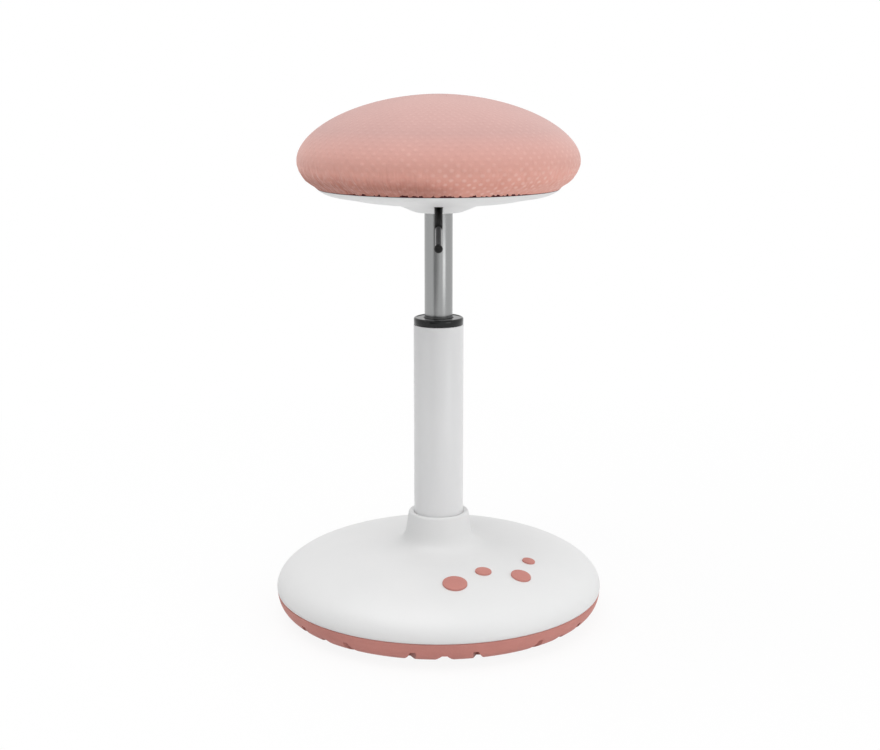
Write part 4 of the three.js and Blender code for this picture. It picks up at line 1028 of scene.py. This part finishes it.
studio = {
    "floorSize": 120, "floorTone": (0.86, 0.86, 0.86), "floorDarker": (0.8428, 0.8428, 0.8428),
    "floorCloud": 1.5, "fade": (0.9, 1.0), "fadeFrom": 0.3, "fadeReach": 1.1,
    "worldLight": 0.61, "worldLean": (0.5, -0.17, 0.0), "background": 1.0,
    "cardFrom": (-0.64, -0.75), "cardTo": (0.5, -2.17), "cardLow": 0.002, "cardHigh": 0.6, "cardCloud": 8.0,
    "cardTone": (0.02, 0.02, 0.02), "cardPaler": (0.03, 0.03, 0.03),
    "cardShare": 0.7, "cardFade": (-0.5, 0.45), "lampAim": (0, 0, 0.3),
    "lamps": {
        "topLamp": {"power": 38, "size": (2.2, 2.2), "spot": (-0.45, -0.2, 2.25)},
        "stripLamp": {"power": 0.55, "size": (0.48, 0.2), "spot": (0.86, -0.836, 0.16)},
    },
}


def throughFloor(tree):
    # 1 for the rays that see the plain white of the studio
    rays = addNode(tree, "ShaderNodeLightPath").outputs
    seen = reckon(tree, "ADD", rays["Is Camera Ray"], rays["Is Glossy Ray"])
    return reckon(tree, "ADD", seen, rays["Is Transmission Ray"], clamp=True)


def makeFloor():
    work = bmesh.new()
    bmesh.ops.create_grid(work, x_segments=1, y_segments=1, size=studio["floorSize"] / 2)
    floor = makePiece("floor", work)
    material, tree, shader = newMaterial("floorWhite", studio["floorTone"])
    cloud = objectNoise(tree, studio["floorCloud"])
    tones = blendColour(tree, cloud, studio["floorTone"], studio["floorDarker"])
    tree.links.new(tones, shader.inputs["Base Color"])
    shader.inputs["Roughness"].default_value = 0.8
    reach = reckonVector(tree, "LENGTH", objectCoords(tree))
    fade = spread(tree, reach, *studio["fade"], studio["fadeFrom"], studio["fadeReach"])
    share = reckon(tree, "MULTIPLY", throughFloor(tree), fade)
    glow = addNode(tree, "ShaderNodeEmission", {"Color": (1, 1, 1, 1), "Strength": studio["background"]})
    mixed = addNode(tree, "ShaderNodeMixShader", {0: share, 1: shader.outputs[0], 2: glow.outputs[0]})
    tree.links.new(mixed.outputs[0], tree.nodes["Material Output"].inputs["Surface"])
    floor.data.materials.append(material)


def makeCard():
    # a thin dark card, unseen by the camera, that shades the bright cylinder and fades out to the right
    work = bmesh.new()
    low = [work.verts.new((*studio[end], studio["cardLow"])) for end in ("cardFrom", "cardTo")]
    high = [work.verts.new((*studio[end], studio["cardHigh"])) for end in ("cardTo", "cardFrom")]
    work.faces.new(low + high)
    card = makePiece("darkCard", work)
    material, tree, shader = newMaterial("cardBlack", studio["cardTone"])
    cloud = objectNoise(tree, studio["cardCloud"])
    tones = blendColour(tree, cloud, studio["cardTone"], studio["cardPaler"])
    tree.links.new(tones, shader.inputs["Base Color"])
    shader.inputs["Roughness"].default_value = 0.9
    faded = spread(tree, alongAxis(tree, "X"), studio["cardShare"], 0.0, *studio["cardFade"])
    seen = addNode(tree, "ShaderNodeLightPath").outputs["Is Camera Ray"]
    unseen = reckon(tree, "SUBTRACT", 1.0, seen)
    tree.links.new(reckon(tree, "MULTIPLY", faded, unseen), shader.inputs["Alpha"])
    card.data.materials.append(material)


def makeWorld():
    # plain white to look at; its light on the stool is lower and leans to one side
    world = bpy.data.worlds.new("studioWorld")
    world.use_nodes = True
    scene.world = world
    tree = world.node_tree
    lean = reckonVector(tree, "DOT_PRODUCT", objectCoords(tree), studio["worldLean"])
    soft = reckon(tree, "ADD", lean, studio["worldLight"])
    strength = spread(tree, throughFloor(tree), soft, studio["background"], 0.0, 1.0)
    tree.links.new(strength, tree.nodes["Background"].inputs["Strength"])
    tree.nodes["Background"].inputs["Color"].default_value = (1, 1, 1, 1)


def addLamp(name, settings):
    lamp = bpy.data.lights.new(name, "AREA")
    lamp.energy = settings["power"]
    lamp.shape = "RECTANGLE"
    lamp.size, lamp.size_y = settings["size"]
    holder = bpy.data.objects.new(name, lamp)
    holder.location = settings["spot"]
    aim = Vector(studio["lampAim"]) - Vector(settings["spot"])
    holder.rotation_euler = aim.to_track_quat("-Z", "Y").to_euler()
    scene.collection.objects.link(holder)


makeFloor()
makeCard()
makeWorld()
for name, settings in studio["lamps"].items():
    addLamp(name, settings)

view = {"location": (0.0014, -1.400, 0.53973), "tilt": 78.197, "lens": 58.04, "sensor": 36}
cameraData = bpy.data.cameras.new("camera")
cameraData.lens = view["lens"]
cameraData.sensor_width = view["sensor"]
camera = bpy.data.objects.new("camera", cameraData)
camera.location = view["location"]
camera.rotation_euler = (math.radians(view["tilt"]), 0, 0)
scene.collection.objects.link(camera)
scene.camera = camera
scene.view_settings.view_transform = "Standard"
print("studio ready")
